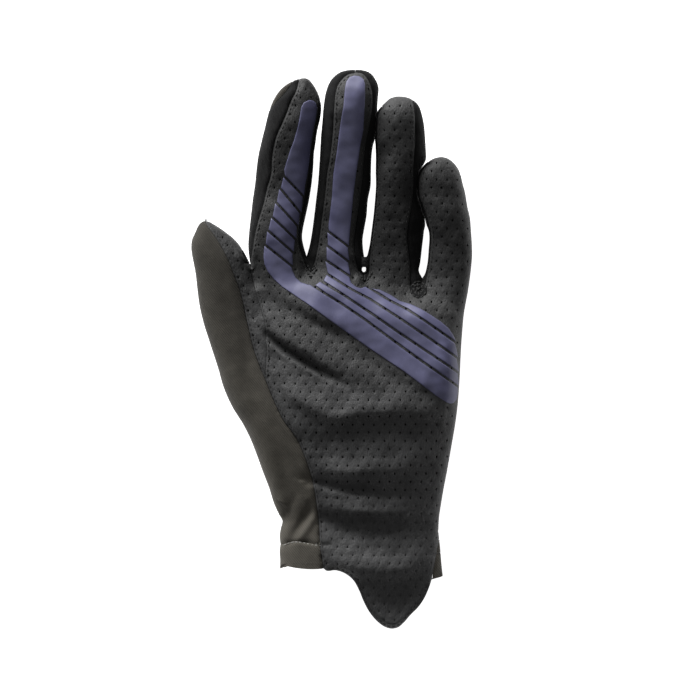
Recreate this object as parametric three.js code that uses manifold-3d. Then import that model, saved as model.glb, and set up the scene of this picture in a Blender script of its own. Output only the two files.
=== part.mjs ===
// A left-hand, full-finger cycling glove that lies on its back with the palm up.
// It is a hollow hand-shaped shell cut into the panels that such a glove is sewn from:
// a perforated leather palm with a pull tab, knitted side strips between the fingers,
// a cloth back, a cloth thumb side, a hemmed cuff and raised grip bars on the palm.
// Lengths are in millimetres. X runs from the thumb to the little finger,
// Y from the cuff to the fingertips and Z up out of the palm.
import * as THREE from "three";
import { mergeVertices } from "three/addons/utils/BufferGeometryUtils.js";
import Module from "manifold-3d";

const wasm = await Module();
wasm.setup();

// Hand
const palmLength = 132; // cuff edge to the web beside the index finger
const palmWidth = 92.4; // across the knuckles
const palmDepth = 27; // floor to the top of the palm
const webHeight = 0.9485 * palmLength; // to the line of the finger webs, on the palm's middle line
const webSlope = 0.196; // fall of that line towards the little finger, per millimetre
const fingerLength = 82.2; // web line to the tip of the middle finger
const fingerWidth = 22.3; // middle finger
const fingerDepth = 17.5;
const rootRun = 12; // length of a finger's tube that lies inside the palm
const fingerLift = 1.2; // gap under the knuckles
const fingerCurl = 7.5; // rise of the fingertips over the knuckles
const curlLength = 84; // length over which that rise comes

// Thumb
const thumbLength = 108.4; // tip to the end of its tube inside the palm
const thumbBase = 0.2864 * palmLength; // cuff edge to that end
const thumbBaseX = 30; // sideways place of that end, on the thumb's side
const thumbReach = 37.2; // sideways distance from that end to the tip
const thumbWidth = 30;
const thumbDepth = 19;
const thumbLift = 1;
const crotchX = 0.513 * palmWidth; // sideways place of the notch between thumb and index finger

// Cuff and pull tab
const hemHeight = 9.3;
const cuffDrop = 3.6; // the cuff hangs this much lower on the little finger's side
const cuffLift = 1.4; // and starts this much over the palm's end on the thumb's side
const tabLength = 24.1;
const tabWidth = 32.4;
const tabX = 13.6; // sideways place of the tab's middle

// Walls and seams
const leatherWall = 1.2;
const clothWall = 1.1;
const hemWall = 2;
const seamGap = 0.3;
const palmSeam = 10.6; // height of the seam between palm and back along the hand
const fingerSeam = 8.4; // and at the knuckles, from where it rises with the fingers

// Grip bars
const gripLift = 0.3; // clearance under a bar
const gripThickness = 0.6;
const gripGroove = 0.9; // width of the groove between two bars

const half = palmWidth / 2;
const seamTurn = webHeight - rootRun; // the seam starts to drop to the knuckles here
const far = 400; // reach of the cutting blocks, past every wall

// Each finger: root is its place across the knuckles as a share of half the palm's width.
// long, wide and deep are shares of the middle finger's sizes, taken at the root, and taper is the
// share of the width that is left at the tip. lean is how far the tip leans sideways, bow how far the
// middle does and tip the length of the round end, as shares of the middle finger's width.
// The seam columns place the leather's edges, as shares of half the finger's width, at root and tip.
const fingerTable = [
  {
    name: "index", root: -0.781, long: 0.899, wide: 1.049, taper: 0.97, deep: 1,
    lean: 0.444, bow: -0.04, tip: 0.628, leftSeam: [-1.12, -0.36], rightSeam: [0.84, 0.82],
  },
  {
    name: "middle", root: -0.245, long: 1, wide: 1, taper: 1, deep: 1,
    lean: 0.363, bow: 0.022, tip: 0.359, leftSeam: [-0.56, -0.56], rightSeam: [0.6, 0.7],
  },
  {
    name: "ring", root: 0.32, long: 0.928, wide: 1.004, taper: 0.89, deep: 0.971,
    lean: 0.076, bow: 0, tip: 0.359, leftSeam: [-0.86, -0.84], rightSeam: [0.7, 0.74],
  },
  {
    name: "little", root: 0.796, long: 0.668, wide: 0.888, taper: 0.84, deep: 0.886,
    lean: -0.135, bow: 0.072, tip: 0.404, leftSeam: [-0.84, -0.8], rightSeam: [1.4, 1.4],
  },
];
const fingers = fingerTable.map((row) => ({
  ...row,
  length: row.long * fingerLength,
  width: row.wide * fingerWidth,
  depth: row.deep * fingerDepth,
  leanRun: row.lean * fingerWidth,
  bowRun: row.bow * fingerWidth,
  tipRun: row.tip * fingerWidth,
}));

// Sections of the hand from the tab's end to the webs. at is a share of the palm's length,
// left and right are shares of half its width, deep is a share of its depth
// and low is how far the underside lies over the floor, in finger lifts.
const handSections = [
  { at: -0.2, left: -0.7, right: 0.72, deep: 0.62, low: 0 },
  { at: -0.1, left: -0.72, right: 0.74, deep: 0.72, low: 0 },
  { at: 0, left: -0.74, right: 0.75, deep: 0.78, low: 0 },
  { at: 0.07, left: -0.735, right: 0.73, deep: 0.79, low: 0 },
  { at: 0.13, left: -0.73, right: 0.715, deep: 0.8, low: 0 },
  { at: 0.235, left: -0.81, right: 0.745, deep: 0.86, low: 0 },
  { at: 0.29, left: -0.875, right: 0.775, deep: 0.9, low: 0 },
  { at: 0.39, left: -0.9, right: 0.82, deep: 0.96, low: 0 },
  { at: 0.54, left: -0.8, right: 0.885, deep: 1, low: 0 },
  { at: 0.67, left: -0.84, right: 0.91, deep: 0.99, low: 0 },
  { at: 0.765, left: -0.89, right: 0.925, deep: 0.93, low: 0 },
  { at: 0.86, left: -0.95, right: 0.96, deep: 0.83, low: 0 },
  { at: 0.93, left: -1, right: 1, deep: 0.71, low: 0.6 },
  { at: 0.965, left: -1, right: 0.32, deep: 0.62, low: 1.2 },
  { at: 1.004, left: -0.93, right: -0.2, deep: 0.5, low: 1.8 },
];
const handStep = 0.052; // spacing of the hand's rings, as a share of the palm's length

// Sections of a finger from its root, at being a share of the length up to the round end.
const fingerSections = [
  { at: 0, wide: 1, deep: 1 },
  { at: 0.4, wide: 0.97, deep: 0.92 },
  { at: 0.55, wide: 1, deep: 0.96 },
  { at: 0.76, wide: 0.97, deep: 0.88 },
  { at: 1, wide: 0.99, deep: 0.9 },
];
const rootSections = [
  { at: 1, wide: 0.58, deep: 0.8 },
  { at: 0.45, wide: 0.82, deep: 0.96 },
];
const tipRings = 3;

// Sections of the thumb from its tip. at is a share of its length, reach of its sideways reach,
// wide and deep of its width and depth, and seam is where the side seam crosses, from -1 to 1.
const thumbSections = [
  { at: 1, reach: 0.955, wide: 0.09, deep: 0.3, seam: 0.1 },
  { at: 0.99, reach: 0.94, wide: 0.24, deep: 0.42, seam: 0.12 },
  { at: 0.963, reach: 0.9, wide: 0.43, deep: 0.56, seam: 0.14 },
  { at: 0.93, reach: 0.862, wide: 0.63, deep: 0.7, seam: 0.18 },
  { at: 0.868, reach: 0.793, wide: 0.747, deep: 0.84, seam: 0.27 },
  { at: 0.775, reach: 0.707, wide: 0.84, deep: 0.9, seam: 0.37 },
  { at: 0.659, reach: 0.65, wide: 0.867, deep: 0.95, seam: 0.43 },
  { at: 0.558, reach: 0.556, wide: 0.913, deep: 1, seam: 0.34 },
  { at: 0.465, reach: 0.43, wide: 0.967, deep: 1.03, seam: 0.18 },
  { at: 0.341, reach: 0.312, wide: 1.04, deep: 1.08, seam: 0.3 },
  { at: 0.248, reach: 0.204, wide: 0.907, deep: 1.1, seam: 0.45 },
  { at: 0.124, reach: 0.081, wide: 0.74, deep: 1.08, seam: 0.8 },
  { at: 0, reach: 0, wide: 0.6, deep: 0.95, seam: 1.17 },
];

// The side seam below the thumb, and the seam where the thumb's leather meets the palm.
// across is a share of half the palm's width, up a share of its length.
const wristSeam = [
  { across: -0.38, up: 0.2 },
  { across: -0.365, up: 0.13 },
  { across: -0.355, up: -0.3 },
];
const thumbSeam = [
  { across: -0.955, up: 0.888 },
  { across: -0.872, up: 0.786 },
  { across: -0.855, up: 0.7 },
];
const thumbJoinUp = 0.61; // where it meets the side seam

// The pull tab's edge: across is a share of half its width, down a share of its length.
const tabEdge = [
  { across: -1.6, down: -0.015 },
  { across: -1.23, down: 0.04 },
  { across: -1.05, down: 0.145 },
  { across: -0.9, down: 0.37 },
  { across: -0.69, down: 0.63 },
  { across: -0.4, down: 0.9 },
  { across: -0.04, down: 1 },
  { across: 0.19, down: 0.95 },
  { across: 0.43, down: 0.775 },
  { across: 0.63, down: 0.635 },
  { across: 0.87, down: 0.39 },
  { across: 0.97, down: 0.17 },
];
const cuffEdge = [
  { across: 0.68, up: 0.01 },
  { across: 0.7, up: 0.06 },
  { across: 0.71, up: 0.12 },
  { across: 0.9, up: 0.16 },
];

// Folds of the palm, from one end to the other, in the same shares. rise is a share of the
// palm's depth, negative for a crease, and wide a share of the palm's length.
const folds = [
  { across: -0.86, up: 0.765, across2: -0.28, up2: 0.6, rise: -0.105, wide: 0.03 },
  { across: -0.7, up: 0.78, across2: -0.1, up2: 0.62, rise: 0.03, wide: 0.035 },
  { across: -0.4, up: 0.52, across2: 0.8, up2: 0.525, rise: 0.035, wide: 0.03 },
  { across: -0.4, up: 0.465, across2: 0.8, up2: 0.47, rise: -0.03, wide: 0.03 },
  { across: -0.45, up: 0.385, across2: 0.7, up2: 0.38, rise: 0.035, wide: 0.028 },
  { across: -0.4, up: 0.31, across2: 0.7, up2: 0.305, rise: -0.035, wide: 0.03 },
  { across: -0.4, up: 0.27, across2: 0.5, up2: 0.215, rise: 0.035, wide: 0.025 },
  { across: -0.3, up: 0.2, across2: 0.6, up2: 0.155, rise: -0.04, wide: 0.03 },
  { across: -0.38, up: 0.13, across2: 0.1, up2: 0.055, rise: 0.04, wide: 0.028 },
];

// Grip zones on the two printed fingers: edges as shares of half the finger's width.
const indexGrip = [
  { at: -0.06, left: -0.3, right: 0.74 },
  { at: 0.04, left: -0.39, right: 0.74 },
  { at: 0.29, left: -0.2, right: 0.73 },
  { at: 0.44, left: -0.05, right: 0.7 },
  { at: 0.54, left: 0.1, right: 0.8 },
  { at: 0.71, left: 0.3, right: 0.84 },
  { at: 0.84, left: 0.28, right: 0.8 },
  { at: 0.875, left: 0.42, right: 0.66 },
];
const middleGrip = [
  { at: -0.02, left: -0.3, right: 0.58 },
  { at: 0.12, left: -0.31, right: 0.5 },
  { at: 0.45, left: -0.32, right: 0.53 },
  { at: 0.8, left: -0.3, right: 0.5 },
  { at: 0.93, left: -0.34, right: 0.42 },
  { at: 0.97, left: -0.16, right: 0.24 },
];
const palmGrip = [
  { across: -0.79, up: 0.929 },
  { across: 0.79, up: 0.535 },
  { across: 0.855, up: 0.542 },
  { across: 0.88, up: 0.579 },
  { across: 0.86, up: 0.68 },
  { across: 0.844, up: 0.729 },
  { across: 0.727, up: 0.789 },
  { across: 0.59, up: 0.827 },
  { across: 0.346, up: 0.853 },
  { across: 0.136, up: 0.9 },
  { across: 0.02, up: 0.9 },
  { across: -0.06, up: 0.93 },
  { across: -0.08, up: 0.975 },
  { across: -0.31, up: 0.975 },
  { across: -0.31, up: 0.936 },
  { across: -0.4, up: 0.913 },
  { across: -0.52, up: 0.913 },
  { across: -0.59, up: 0.94 },
  { across: -0.61, up: 0.97 },
  { across: -0.84, up: 0.985 },
  { across: -0.85, up: 0.955 },
];
// Grooves through the middle finger's and the palm's grip, from top to bottom, by their end points.
const palmGrooves = [
  { across: -0.31, up: 1.075, across2: -0.1, up2: 1.038 },
  { across: -0.31, up: 1.03, across2: -0.1, up2: 0.99 },
  { across: -0.31, up: 0.98, across2: 0.845, up2: 0.729 },
  { across: -0.31, up: 0.937, across2: 0.865, up2: 0.68 },
  { across: -0.345, up: 0.92, across2: 0.873, up2: 0.63 },
  { across: -0.455, up: 0.91, across2: 0.882, up2: 0.579 },
];
// Grooves across the index finger: the first one's height on the finger, their pitch and their slope.
const indexGrooves = { count: 6, first: 0.395, pitch: 5.9, slope: -0.87 };

// A closed mesh, made a solid.
function solidOf(geometry) {
  geometry.deleteAttribute("normal");
  geometry.deleteAttribute("uv");
  const merged = mergeVertices(geometry, 1e-4);
  return new wasm.Manifold(
    new wasm.Mesh({
      numProp: 3,
      vertProperties: new Float32Array(merged.attributes.position.array),
      triVerts: new Uint32Array(merged.index.array),
    }),
  );
}

const unionOf = (solids) => solids.reduce((sum, next) => sum.add(next));
const mix = (a, b, t) => a + (b - a) * t;
const vectors = (points) => points.map(([x, y]) => new THREE.Vector2(x, y));

// The value of a column at a place in a table whose rows are sorted by at.
function lookUp(rows, column, at) {
  const sorted = rows[0].at <= rows[rows.length - 1].at ? rows : [...rows].reverse();
  let above = sorted.findIndex((row) => row.at >= at);
  if (above === -1) above = sorted.length - 1;
  if (above === 0) return sorted[0][column];
  const [a, b] = [sorted[above - 1], sorted[above]];
  const share = THREE.MathUtils.clamp((at - a.at) / (b.at - a.at), 0, 1);
  return mix(a[column], b[column], share);
}

// A place on the palm from its shares, and a smooth line through a table of such places.
const palmPoint = ({ across, up }) => [across * half, up * palmLength];
function smooth(points, pieces) {
  return new THREE.SplineCurve(vectors(points)).getPoints(pieces).map((p) => [p.x, p.y]);
}

// A line moved sideways, to its left as it runs.
function offsetLine(points, distance) {
  return points.map((point, i) => {
    const before = points[Math.max(i - 1, 0)];
    const after = points[Math.min(i + 1, points.length - 1)];
    const run = Math.hypot(after[0] - before[0], after[1] - before[1]);
    return [
      point[0] - (distance * (after[1] - before[1])) / run,
      point[1] + (distance * (after[0] - before[0])) / run,
    ];
  });
}

// An outline without the points that lie on a straight line between their neighbours.
function corners(points) {
  return points.filter((point, i) => {
    const before = points[(i + points.length - 1) % points.length];
    const after = points[(i + 1) % points.length];
    const [ax, ay] = [point[0] - before[0], point[1] - before[1]];
    const [bx, by] = [after[0] - point[0], after[1] - point[1]];
    return Math.abs(ax * by - ay * bx) > 1e-5 * Math.hypot(ax, ay) * Math.hypot(bx, by);
  });
}

// An upright block over an outline in plan.
function prism(points) {
  const shape = new THREE.Shape(vectors(corners(points)));
  const block = new THREE.ExtrudeGeometry(shape, { depth: far, bevelEnabled: false });
  block.translate(0, 0, -far / 2);
  return solidOf(block);
}

// A block over a profile seen from the side, across the whole hand.
function sideBlock(profile) {
  const shape = new THREE.Shape(vectors(corners(profile)));
  const block = new THREE.ExtrudeGeometry(shape, { depth: 2 * far, bevelEnabled: false });
  block.applyMatrix4(
    new THREE.Matrix4().makeBasis(
      new THREE.Vector3(0, 1, 0),
      new THREE.Vector3(0, 0, 1),
      new THREE.Vector3(1, 0, 0),
    ),
  );
  block.translate(-far, 0, 0);
  return solidOf(block);
}

// One ring of a tube in the plane at y: a dome over a flat-bottomed cup, widest at the seam.
const handSides = { dome: 12, cup: 5 };
const fingerSides = { dome: 8, cup: 5 };
const domeRoundness = 0.86;
const widestShare = 0.42; // height of the widest line, as a share of the depth
const cupFlatness = 1.28; // over 1, so that the underside is cut off flat
function ring(sides, y, left, right, low, high) {
  const centre = (left + right) / 2;
  const reach = (right - left) / 2;
  const widest = mix(low, high, widestShare);
  const points = [];
  for (let i = 0; i < sides.dome; i++) {
    const angle = (Math.PI * i) / sides.dome;
    const c = Math.cos(angle);
    points.push([
      centre + reach * Math.sign(c) * Math.abs(c) ** domeRoundness,
      y,
      widest + (high - widest) * Math.sin(angle) ** domeRoundness,
    ]);
  }
  for (let i = 0; i < sides.cup; i++) {
    const angle = Math.PI * (1 + i / sides.cup);
    const drop = Math.min(1, cupFlatness * Math.abs(Math.sin(angle)));
    points.push([centre + reach * Math.cos(angle), y, mix(widest, low, drop)]);
  }
  return points;
}

// The tube through a list of rings, its ends closed by flat fans.
function tube(rings) {
  const sides = rings[0].length;
  const positions = rings.flat(2);
  const index = [];
  for (let r = 0; r + 1 < rings.length; r++)
    for (let i = 0; i < sides; i++) {
      const [a, b] = [r * sides + i, r * sides + ((i + 1) % sides)];
      index.push(a, a + sides, b, b, a + sides, b + sides);
    }
  for (const [start, flip] of [
    [0, true],
    [(rings.length - 1) * sides, false],
  ]) {
    const middle = positions.length / 3;
    for (let axis = 0; axis < 3; axis++) {
      let sum = 0;
      for (let i = 0; i < sides; i++) sum += positions[(start + i) * 3 + axis];
      positions.push(sum / sides);
    }
    for (let i = 0; i < sides; i++) {
      const [a, b] = [start + i, start + ((i + 1) % sides)];
      index.push(...(flip ? [middle, a, b] : [middle, b, a]));
    }
  }
  const geometry = new THREE.BufferGeometry();
  geometry.setAttribute("position", new THREE.Float32BufferAttribute(positions, 3));
  geometry.setIndex(index);
  return solidOf(geometry);
}

// Height that the folds add to the top of the palm at a place.
function foldRise(x, y) {
  let rise = 0;
  for (const fold of folds) {
    const [x1, y1] = palmPoint(fold);
    const [x2, y2] = palmPoint({ across: fold.across2, up: fold.up2 });
    const run = Math.hypot(x2 - x1, y2 - y1);
    const along = ((x - x1) * (x2 - x1) + (y - y1) * (y2 - y1)) / run;
    const aside = ((x - x1) * (y2 - y1) - (y - y1) * (x2 - x1)) / run;
    const past = Math.max(0, -along, along - run);
    const wide = fold.wide * palmLength;
    rise += fold.rise * palmDepth * Math.exp(-(aside ** 2 + past ** 2) / wide ** 2);
  }
  return rise;
}

const curlAt = (y) => {
  const share = Math.max(0, (y - webHeight) / curlLength);
  return fingerCurl * share ** 2;
};
const webAt = (x) => webHeight - webSlope * x;

// The hand's tube, moved out from its true surface by grow.
function handTube(grow) {
  const first = handSections[0].at;
  const last = handSections[handSections.length - 1].at;
  const steps = Math.round((last - first) / handStep);
  const rings = [];
  for (let i = 0; i <= steps; i++) {
    const at = mix(first, last, i / steps);
    const value = (column) => lookUp(handSections, column, at);
    const low = value("low") * fingerLift;
    const end = i === 0 ? -Math.abs(grow) : i === steps ? grow : 0;
    const line = ring(
      handSides,
      at * palmLength + end,
      value("left") * half - grow,
      value("right") * half + grow,
      low - grow,
      low + value("deep") * palmDepth + grow,
    );
    const widest = line[0][2];
    for (const point of line)
      if (point[2] > widest) {
        const share = (point[2] - widest) / (value("deep") * palmDepth * (1 - widestShare));
        point[2] += Math.min(1, share) * foldRise(point[0], point[1]);
      }
    rings.push(line);
  }
  return tube(rings);
}

const fingerRoot = (finger) => {
  const x = finger.root * half;
  return [x, webAt(x)];
};
// The middle line of a finger at a height, carried straight on below its root.
function fingerAxis(finger, y) {
  const [x, rootY] = fingerRoot(finger);
  const share = (y - rootY) / finger.length;
  const bend = Math.max(0, 4 * share * (1 - share));
  return x + finger.leanRun * Math.min(share, 1) + finger.bowRun * bend;
}

// Half of a finger's width at a height, before its sections narrow it.
function fingerReach(finger, y) {
  const share = THREE.MathUtils.clamp((y - fingerRoot(finger)[1]) / finger.length, 0, 1);
  return (finger.width / 2) * mix(1, finger.taper, share);
}

function fingerTube(finger, grow) {
  const rootY = fingerRoot(finger)[1];
  const body = finger.length - finger.tipRun;
  const rings = [];
  const addRing = (y, wide, deep) => {
    const centre = fingerAxis(finger, y);
    const low = fingerLift + curlAt(y) + ((1 - deep) * finger.depth) / 2;
    const reach = wide * fingerReach(finger, y) + grow * Math.sqrt(wide);
    rings.push(
      ring(
        fingerSides,
        y,
        centre - reach,
        centre + reach,
        low - grow * Math.sqrt(deep),
        low + deep * finger.depth + grow * Math.sqrt(deep),
      ),
    );
  };
  for (const row of rootSections) addRing(rootY - row.at * rootRun, row.wide, row.deep);
  for (const row of fingerSections) addRing(rootY + row.at * body, row.wide, row.deep);
  const end = fingerSections[fingerSections.length - 1];
  for (let i = 1; i <= tipRings; i++) {
    const angle = (Math.PI / 2) * (i / (tipRings + 0.35));
    const y = rootY + body + (finger.tipRun + grow) * Math.sin(angle);
    addRing(y, end.wide * Math.cos(angle), end.deep * Math.cos(angle) ** 0.8);
  }
  return tube(rings);
}

const thumbCentre = (row) => [
  -thumbBaseX - row.reach * thumbReach,
  thumbBase + row.at * thumbLength,
];
function thumbTube(grow) {
  const rings = thumbSections.map((row) => {
    const [x, y] = thumbCentre(row);
    const share = Math.sqrt(Math.min(1, row.wide));
    const reach = (row.wide * thumbWidth) / 2 + grow * share;
    const depth = row.deep * thumbDepth;
    const low = thumbLift + Math.max(0, (1 - row.deep) * thumbDepth) / 3;
    const end = row.at === 1 ? grow : 0;
    return ring(fingerSides, y + end, x - reach, x + reach, low - grow, low + depth + grow);
  });
  return tube(rings.reverse());
}

function gloveForm(grow) {
  return unionOf([
    handTube(grow),
    thumbTube(grow),
    ...fingers.map((finger) => fingerTube(finger, grow)),
  ]);
}

// The seam between front and back, seen from the side: level along the hand, then up with the fingers.
const seamSteps = 6;
function seamProfile(drop) {
  const line = [
    [-far, palmSeam - drop],
    [seamTurn, palmSeam - drop],
  ];
  const reach = curlLength * 1.3;
  for (let i = 0; i <= seamSteps; i++) {
    const y = webHeight + (reach * i) / seamSteps;
    line.push([y, fingerSeam + curlAt(y) - drop]);
  }
  return line;
}
const lastSeamY = webHeight + curlLength * 1.3;
const frontBlock = sideBlock([...seamProfile(0), [lastSeamY, far], [-far, far]]);
const backBlock = sideBlock([...seamProfile(seamGap), [lastSeamY, -far], [-far, -far]]);

// Seam lines in plan, running from the fingers to the cuff.
const sideLine = smooth(
  [
    [-thumbBaseX - thumbReach, thumbBase + thumbLength * 1.05],
    ...thumbSections.map((row) => {
      const [x, y] = thumbCentre(row);
      return [x + (row.seam * row.wide * thumbWidth) / 2, y];
    }),
    ...wristSeam.map(palmPoint),
  ],
  24,
);
const joinAt = sideLine.findIndex((point) => point[1] < thumbJoinUp * palmLength);
const thumbJoin = sideLine[joinAt];
const crotchY = webAt(-crotchX) - 5;
const thumbLine = [
  [-crotchX, palmLength * 3],
  [-crotchX, crotchY + 3],
  ...smooth([[-crotchX + 0.6, crotchY], ...thumbSeam.map(palmPoint), thumbJoin], 8),
];

// The plan on one side of a seam line: side is 1 for the little finger's side, -1 for the thumb's.
function besideLine(line, side, shift) {
  const edge = offsetLine(line, shift);
  const top = palmLength * 3;
  const points = [...edge, [edge[edge.length - 1][0], -far / 2]];
  points.push([(side * far) / 2, -far / 2], [(side * far) / 2, top]);
  if (edge[0][1] < top) points.push([edge[0][0], top]);
  return prism(points);
}

// The plan of the palm leather's strip along a finger, moved out by grow.
const stripSteps = 5;
const tipMargin = 1.6; // cloth that shows round the leather at a fingertip
function fingerStrip(finger, grow) {
  const rootY = fingerRoot(finger)[1];
  const roundY = rootY + finger.length - finger.tipRun;
  const edge = ([atRoot, atTip], y, side) => {
    const share = (y - rootY) / (roundY - rootY);
    return fingerAxis(finger, y) + mix(atRoot, atTip, share) * fingerReach(finger, y) + side * grow;
  };
  const points = [];
  const start = rootY - rootRun;
  for (let i = 0; i <= stripSteps; i++) {
    const y = mix(start, roundY, i / stripSteps);
    points.push([edge(finger.rightSeam, y, 1), y]);
  }
  const right = edge(finger.rightSeam, roundY, 1);
  const left = edge(finger.leftSeam, roundY, -1);
  const drift = fingerAxis(finger, roundY + finger.tipRun) - fingerAxis(finger, roundY);
  for (let i = 1; i < stripSteps; i++) {
    const angle = (Math.PI * i) / stripSteps;
    const rise = Math.sin(angle);
    const across = Math.sign(Math.cos(angle)) * Math.abs(Math.cos(angle)) ** 0.8;
    points.push([
      (left + right) / 2 + ((right - left) / 2) * across + drift * rise,
      roundY + rise * (finger.tipRun - tipMargin + grow),
    ]);
  }
  for (let i = stripSteps; i >= 0; i--) {
    const y = mix(start, roundY, i / stripSteps);
    points.push([edge(finger.leftSeam, y, -1), y]);
  }
  return points;
}

// Everything that the palm leather covers in plan, moved out by grow.
function leatherZone(grow) {
  const tab = smooth(
    tabEdge.map(({ across, down }) => [tabX + (across * tabWidth) / 2, -down * tabLength]),
    20,
  );
  const edge = [...tab, ...cuffEdge.map(palmPoint)];
  const palm = prism([
    [-far / 2, offsetLine(edge, -grow)[0][1]],
    ...offsetLine(edge, -grow),
    [far / 2, 0.16 * palmLength],
    [far / 2, webAt(far / 2) + grow],
    [-far / 2, webAt(-far / 2) + grow],
  ]);
  return unionOf([palm, ...fingers.map((f) => prism(fingerStrip(f, grow)))])
    .intersect(besideLine(sideLine, 1, seamGap / 2 - grow))
    .intersect(besideLine(thumbLine, 1, seamGap / 2 - grow));
}

// The plan between two fingers' middle lines; the index finger's outer side starts at the thumb.
function betweenFingers(first, second) {
  const top = palmLength * 3;
  const line = (finger, side) => {
    const [, rootY] = fingerRoot(finger);
    const heights = [rootY - rootRun, rootY, rootY + finger.length / 2, rootY + finger.length];
    const points = heights.map((y) => [fingerAxis(finger, y) + (side * seamGap) / 2, y]);
    return [...points, [points[points.length - 1][0], top]];
  };
  const thumbEdge = offsetLine(thumbLine, seamGap / 2).filter((p) => p[1] > 0.8 * palmLength);
  const left = first ? line(first, 1) : thumbEdge.reverse();
  return prism([...line(second, -1), ...left.reverse()]);
}

// Panels
const outside = gloveForm(0);
const leatherShell = outside.subtract(gloveForm(-leatherWall));
const clothShell = outside.subtract(gloveForm(-clothWall));
const hemShell = outside.subtract(gloveForm(-hemWall));
const leather = leatherZone(0);
const leatherCut = leatherZone(seamGap);

const palmSide = besideLine(sideLine, 1, seamGap / 2);
const thumbSide = besideLine(sideLine, -1, -seamGap / 2);
const hemLine = (x) => cuffLift - ((x + half) / palmWidth) * cuffDrop;
const cuffBand = (low, high) =>
  prism([
    [-far / 2, hemLine(-far / 2) + low],
    [far / 2, hemLine(far / 2) + low],
    [far / 2, hemLine(far / 2) + high],
    [-far / 2, hemLine(-far / 2) + high],
  ]);
const hemBand = cuffBand(0, hemHeight);
const clothBody = cuffBand(hemHeight + seamGap, far);
const cuffCorner = prism([
  [0, -half],
  [half, -half],
  [half, 0.155 * palmLength],
  [0, 0.155 * palmLength],
]).subtract(leatherCut);

const panels = {
  palm_panel: leatherShell.intersect(frontBlock).intersect(leather),
  thumb_palm_panel: leatherShell
    .intersect(frontBlock)
    .intersect(palmSide)
    .intersect(besideLine(thumbLine, -1, -seamGap / 2)),
  thumb_side_panel: clothShell.intersect(thumbSide).intersect(clothBody),
  back_panel: clothShell
    .intersect(backBlock.add(cuffCorner))
    .intersect(palmSide)
    .intersect(clothBody),
  cuff_hem: hemShell.intersect(hemBand).subtract(leatherCut.intersect(frontBlock)),
};
const neighbours = [
  ["index_outer_gusset", null, fingers[0]],
  ["index_middle_fourchette", fingers[0], fingers[1]],
  ["middle_ring_fourchette", fingers[1], fingers[2]],
  ["ring_little_fourchette", fingers[2], fingers[3]],
];
for (const [name, first, second] of neighbours)
  panels[name] = clothShell
    .intersect(frontBlock)
    .intersect(betweenFingers(first, second))
    .subtract(leatherCut);

// The grip: a skin over the leather, cut by plan zones and grooves.
const gripSkin = gloveForm(gripLift + gripThickness)
  .subtract(gloveForm(gripLift))
  .intersect(frontBlock);

function gripStrip(finger, rows) {
  const rootY = fingerRoot(finger)[1];
  const edge = (row, side) => {
    const y = rootY + row.at * finger.length;
    return [fingerAxis(finger, y) + row[side] * fingerReach(finger, y), y];
  };
  return prism([
    ...rows.map((row) => edge(row, "left")),
    ...[...rows].reverse().map((row) => edge(row, "right")),
  ]);
}

// The plan on one side of a groove line: side is 1 above it and -1 below it.
function beyond([x1, y1, x2, y2], side, shift) {
  const slope = (y2 - y1) / (x2 - x1);
  const rise = shift * Math.hypot(1, slope);
  const [left, right] = [x1 - far / 4, x2 + far / 4];
  return prism([
    [left, y1 - (x1 - left) * slope + rise],
    [right, y2 + (right - x2) * slope + rise],
    [right, side * far],
    [left, side * far],
  ]);
}
const above = (line) => beyond(line, 1, gripGroove / 2);
const below = (line) => beyond(line, -1, -gripGroove / 2);
const between = (upper, lower) => below(upper).intersect(above(lower));

const [indexFinger, middleFinger] = fingers;
const indexZone = gripStrip(indexFinger, indexGrip);
const middleZone = gripStrip(middleFinger, middleGrip);
const palmZone = prism(palmGrip.map(palmPoint));

const indexLines = [];
for (let i = 0; i < indexGrooves.count; i++) {
  const y = fingerRoot(indexFinger)[1] + indexGrooves.first * indexFinger.length;
  const height = y - i * indexGrooves.pitch;
  const x = fingerAxis(indexFinger, height);
  const reach = indexFinger.width / 2;
  const rise = reach * indexGrooves.slope;
  indexLines.push([x - reach, height - rise, x + reach, height + rise]);
}
const palmLines = palmGrooves.map((row) => [
  ...palmPoint(row),
  ...palmPoint({ across: row.across2, up: row.up2 }),
]);

const lastIndexLine = indexLines[indexLines.length - 1];
const broadZone = unionOf([palmZone, middleZone, indexZone.intersect(below(lastIndexLine))]);
const grips = { index_grip_pad: indexZone.intersect(above(indexLines[0])) };
for (let i = 1; i < indexLines.length; i++)
  grips[`index_grip_bar_${i}`] = indexZone.intersect(between(indexLines[i - 1], indexLines[i]));
grips.middle_grip_pad = middleZone.intersect(above(palmLines[0]));
grips.middle_grip_bar_1 = middleZone.intersect(between(palmLines[0], palmLines[1]));
grips.middle_grip_bar_2 = middleZone.intersect(between(palmLines[1], palmLines[2]));
grips.palm_grip_stripe_4 = palmZone.intersect(above(palmLines[2]));
grips.palm_grip_stripe_3 = broadZone.intersect(between(palmLines[2], palmLines[3]));
grips.palm_grip_stripe_2 = broadZone.intersect(between(palmLines[3], palmLines[4]));
grips.palm_grip_stripe_1 = broadZone.intersect(between(palmLines[4], palmLines[5]));
grips.palm_grip_band = broadZone.intersect(below(palmLines[5]));

// Finishes
const finish = (color, roughness) =>
  new THREE.MeshStandardMaterial({ color, roughness, metalness: 0 });
const leatherFinish = finish(0x333333, 0.75);
const knitFinish = finish(0x161616, 0.85);
const clothFinish = finish(0x47433a, 0.9);
const gripFinish = finish(0x4b4a68, 0.5);
const finishes = {
  palm_panel: leatherFinish,
  thumb_palm_panel: leatherFinish,
  thumb_side_panel: clothFinish,
  back_panel: clothFinish,
  cuff_hem: clothFinish,
};

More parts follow.
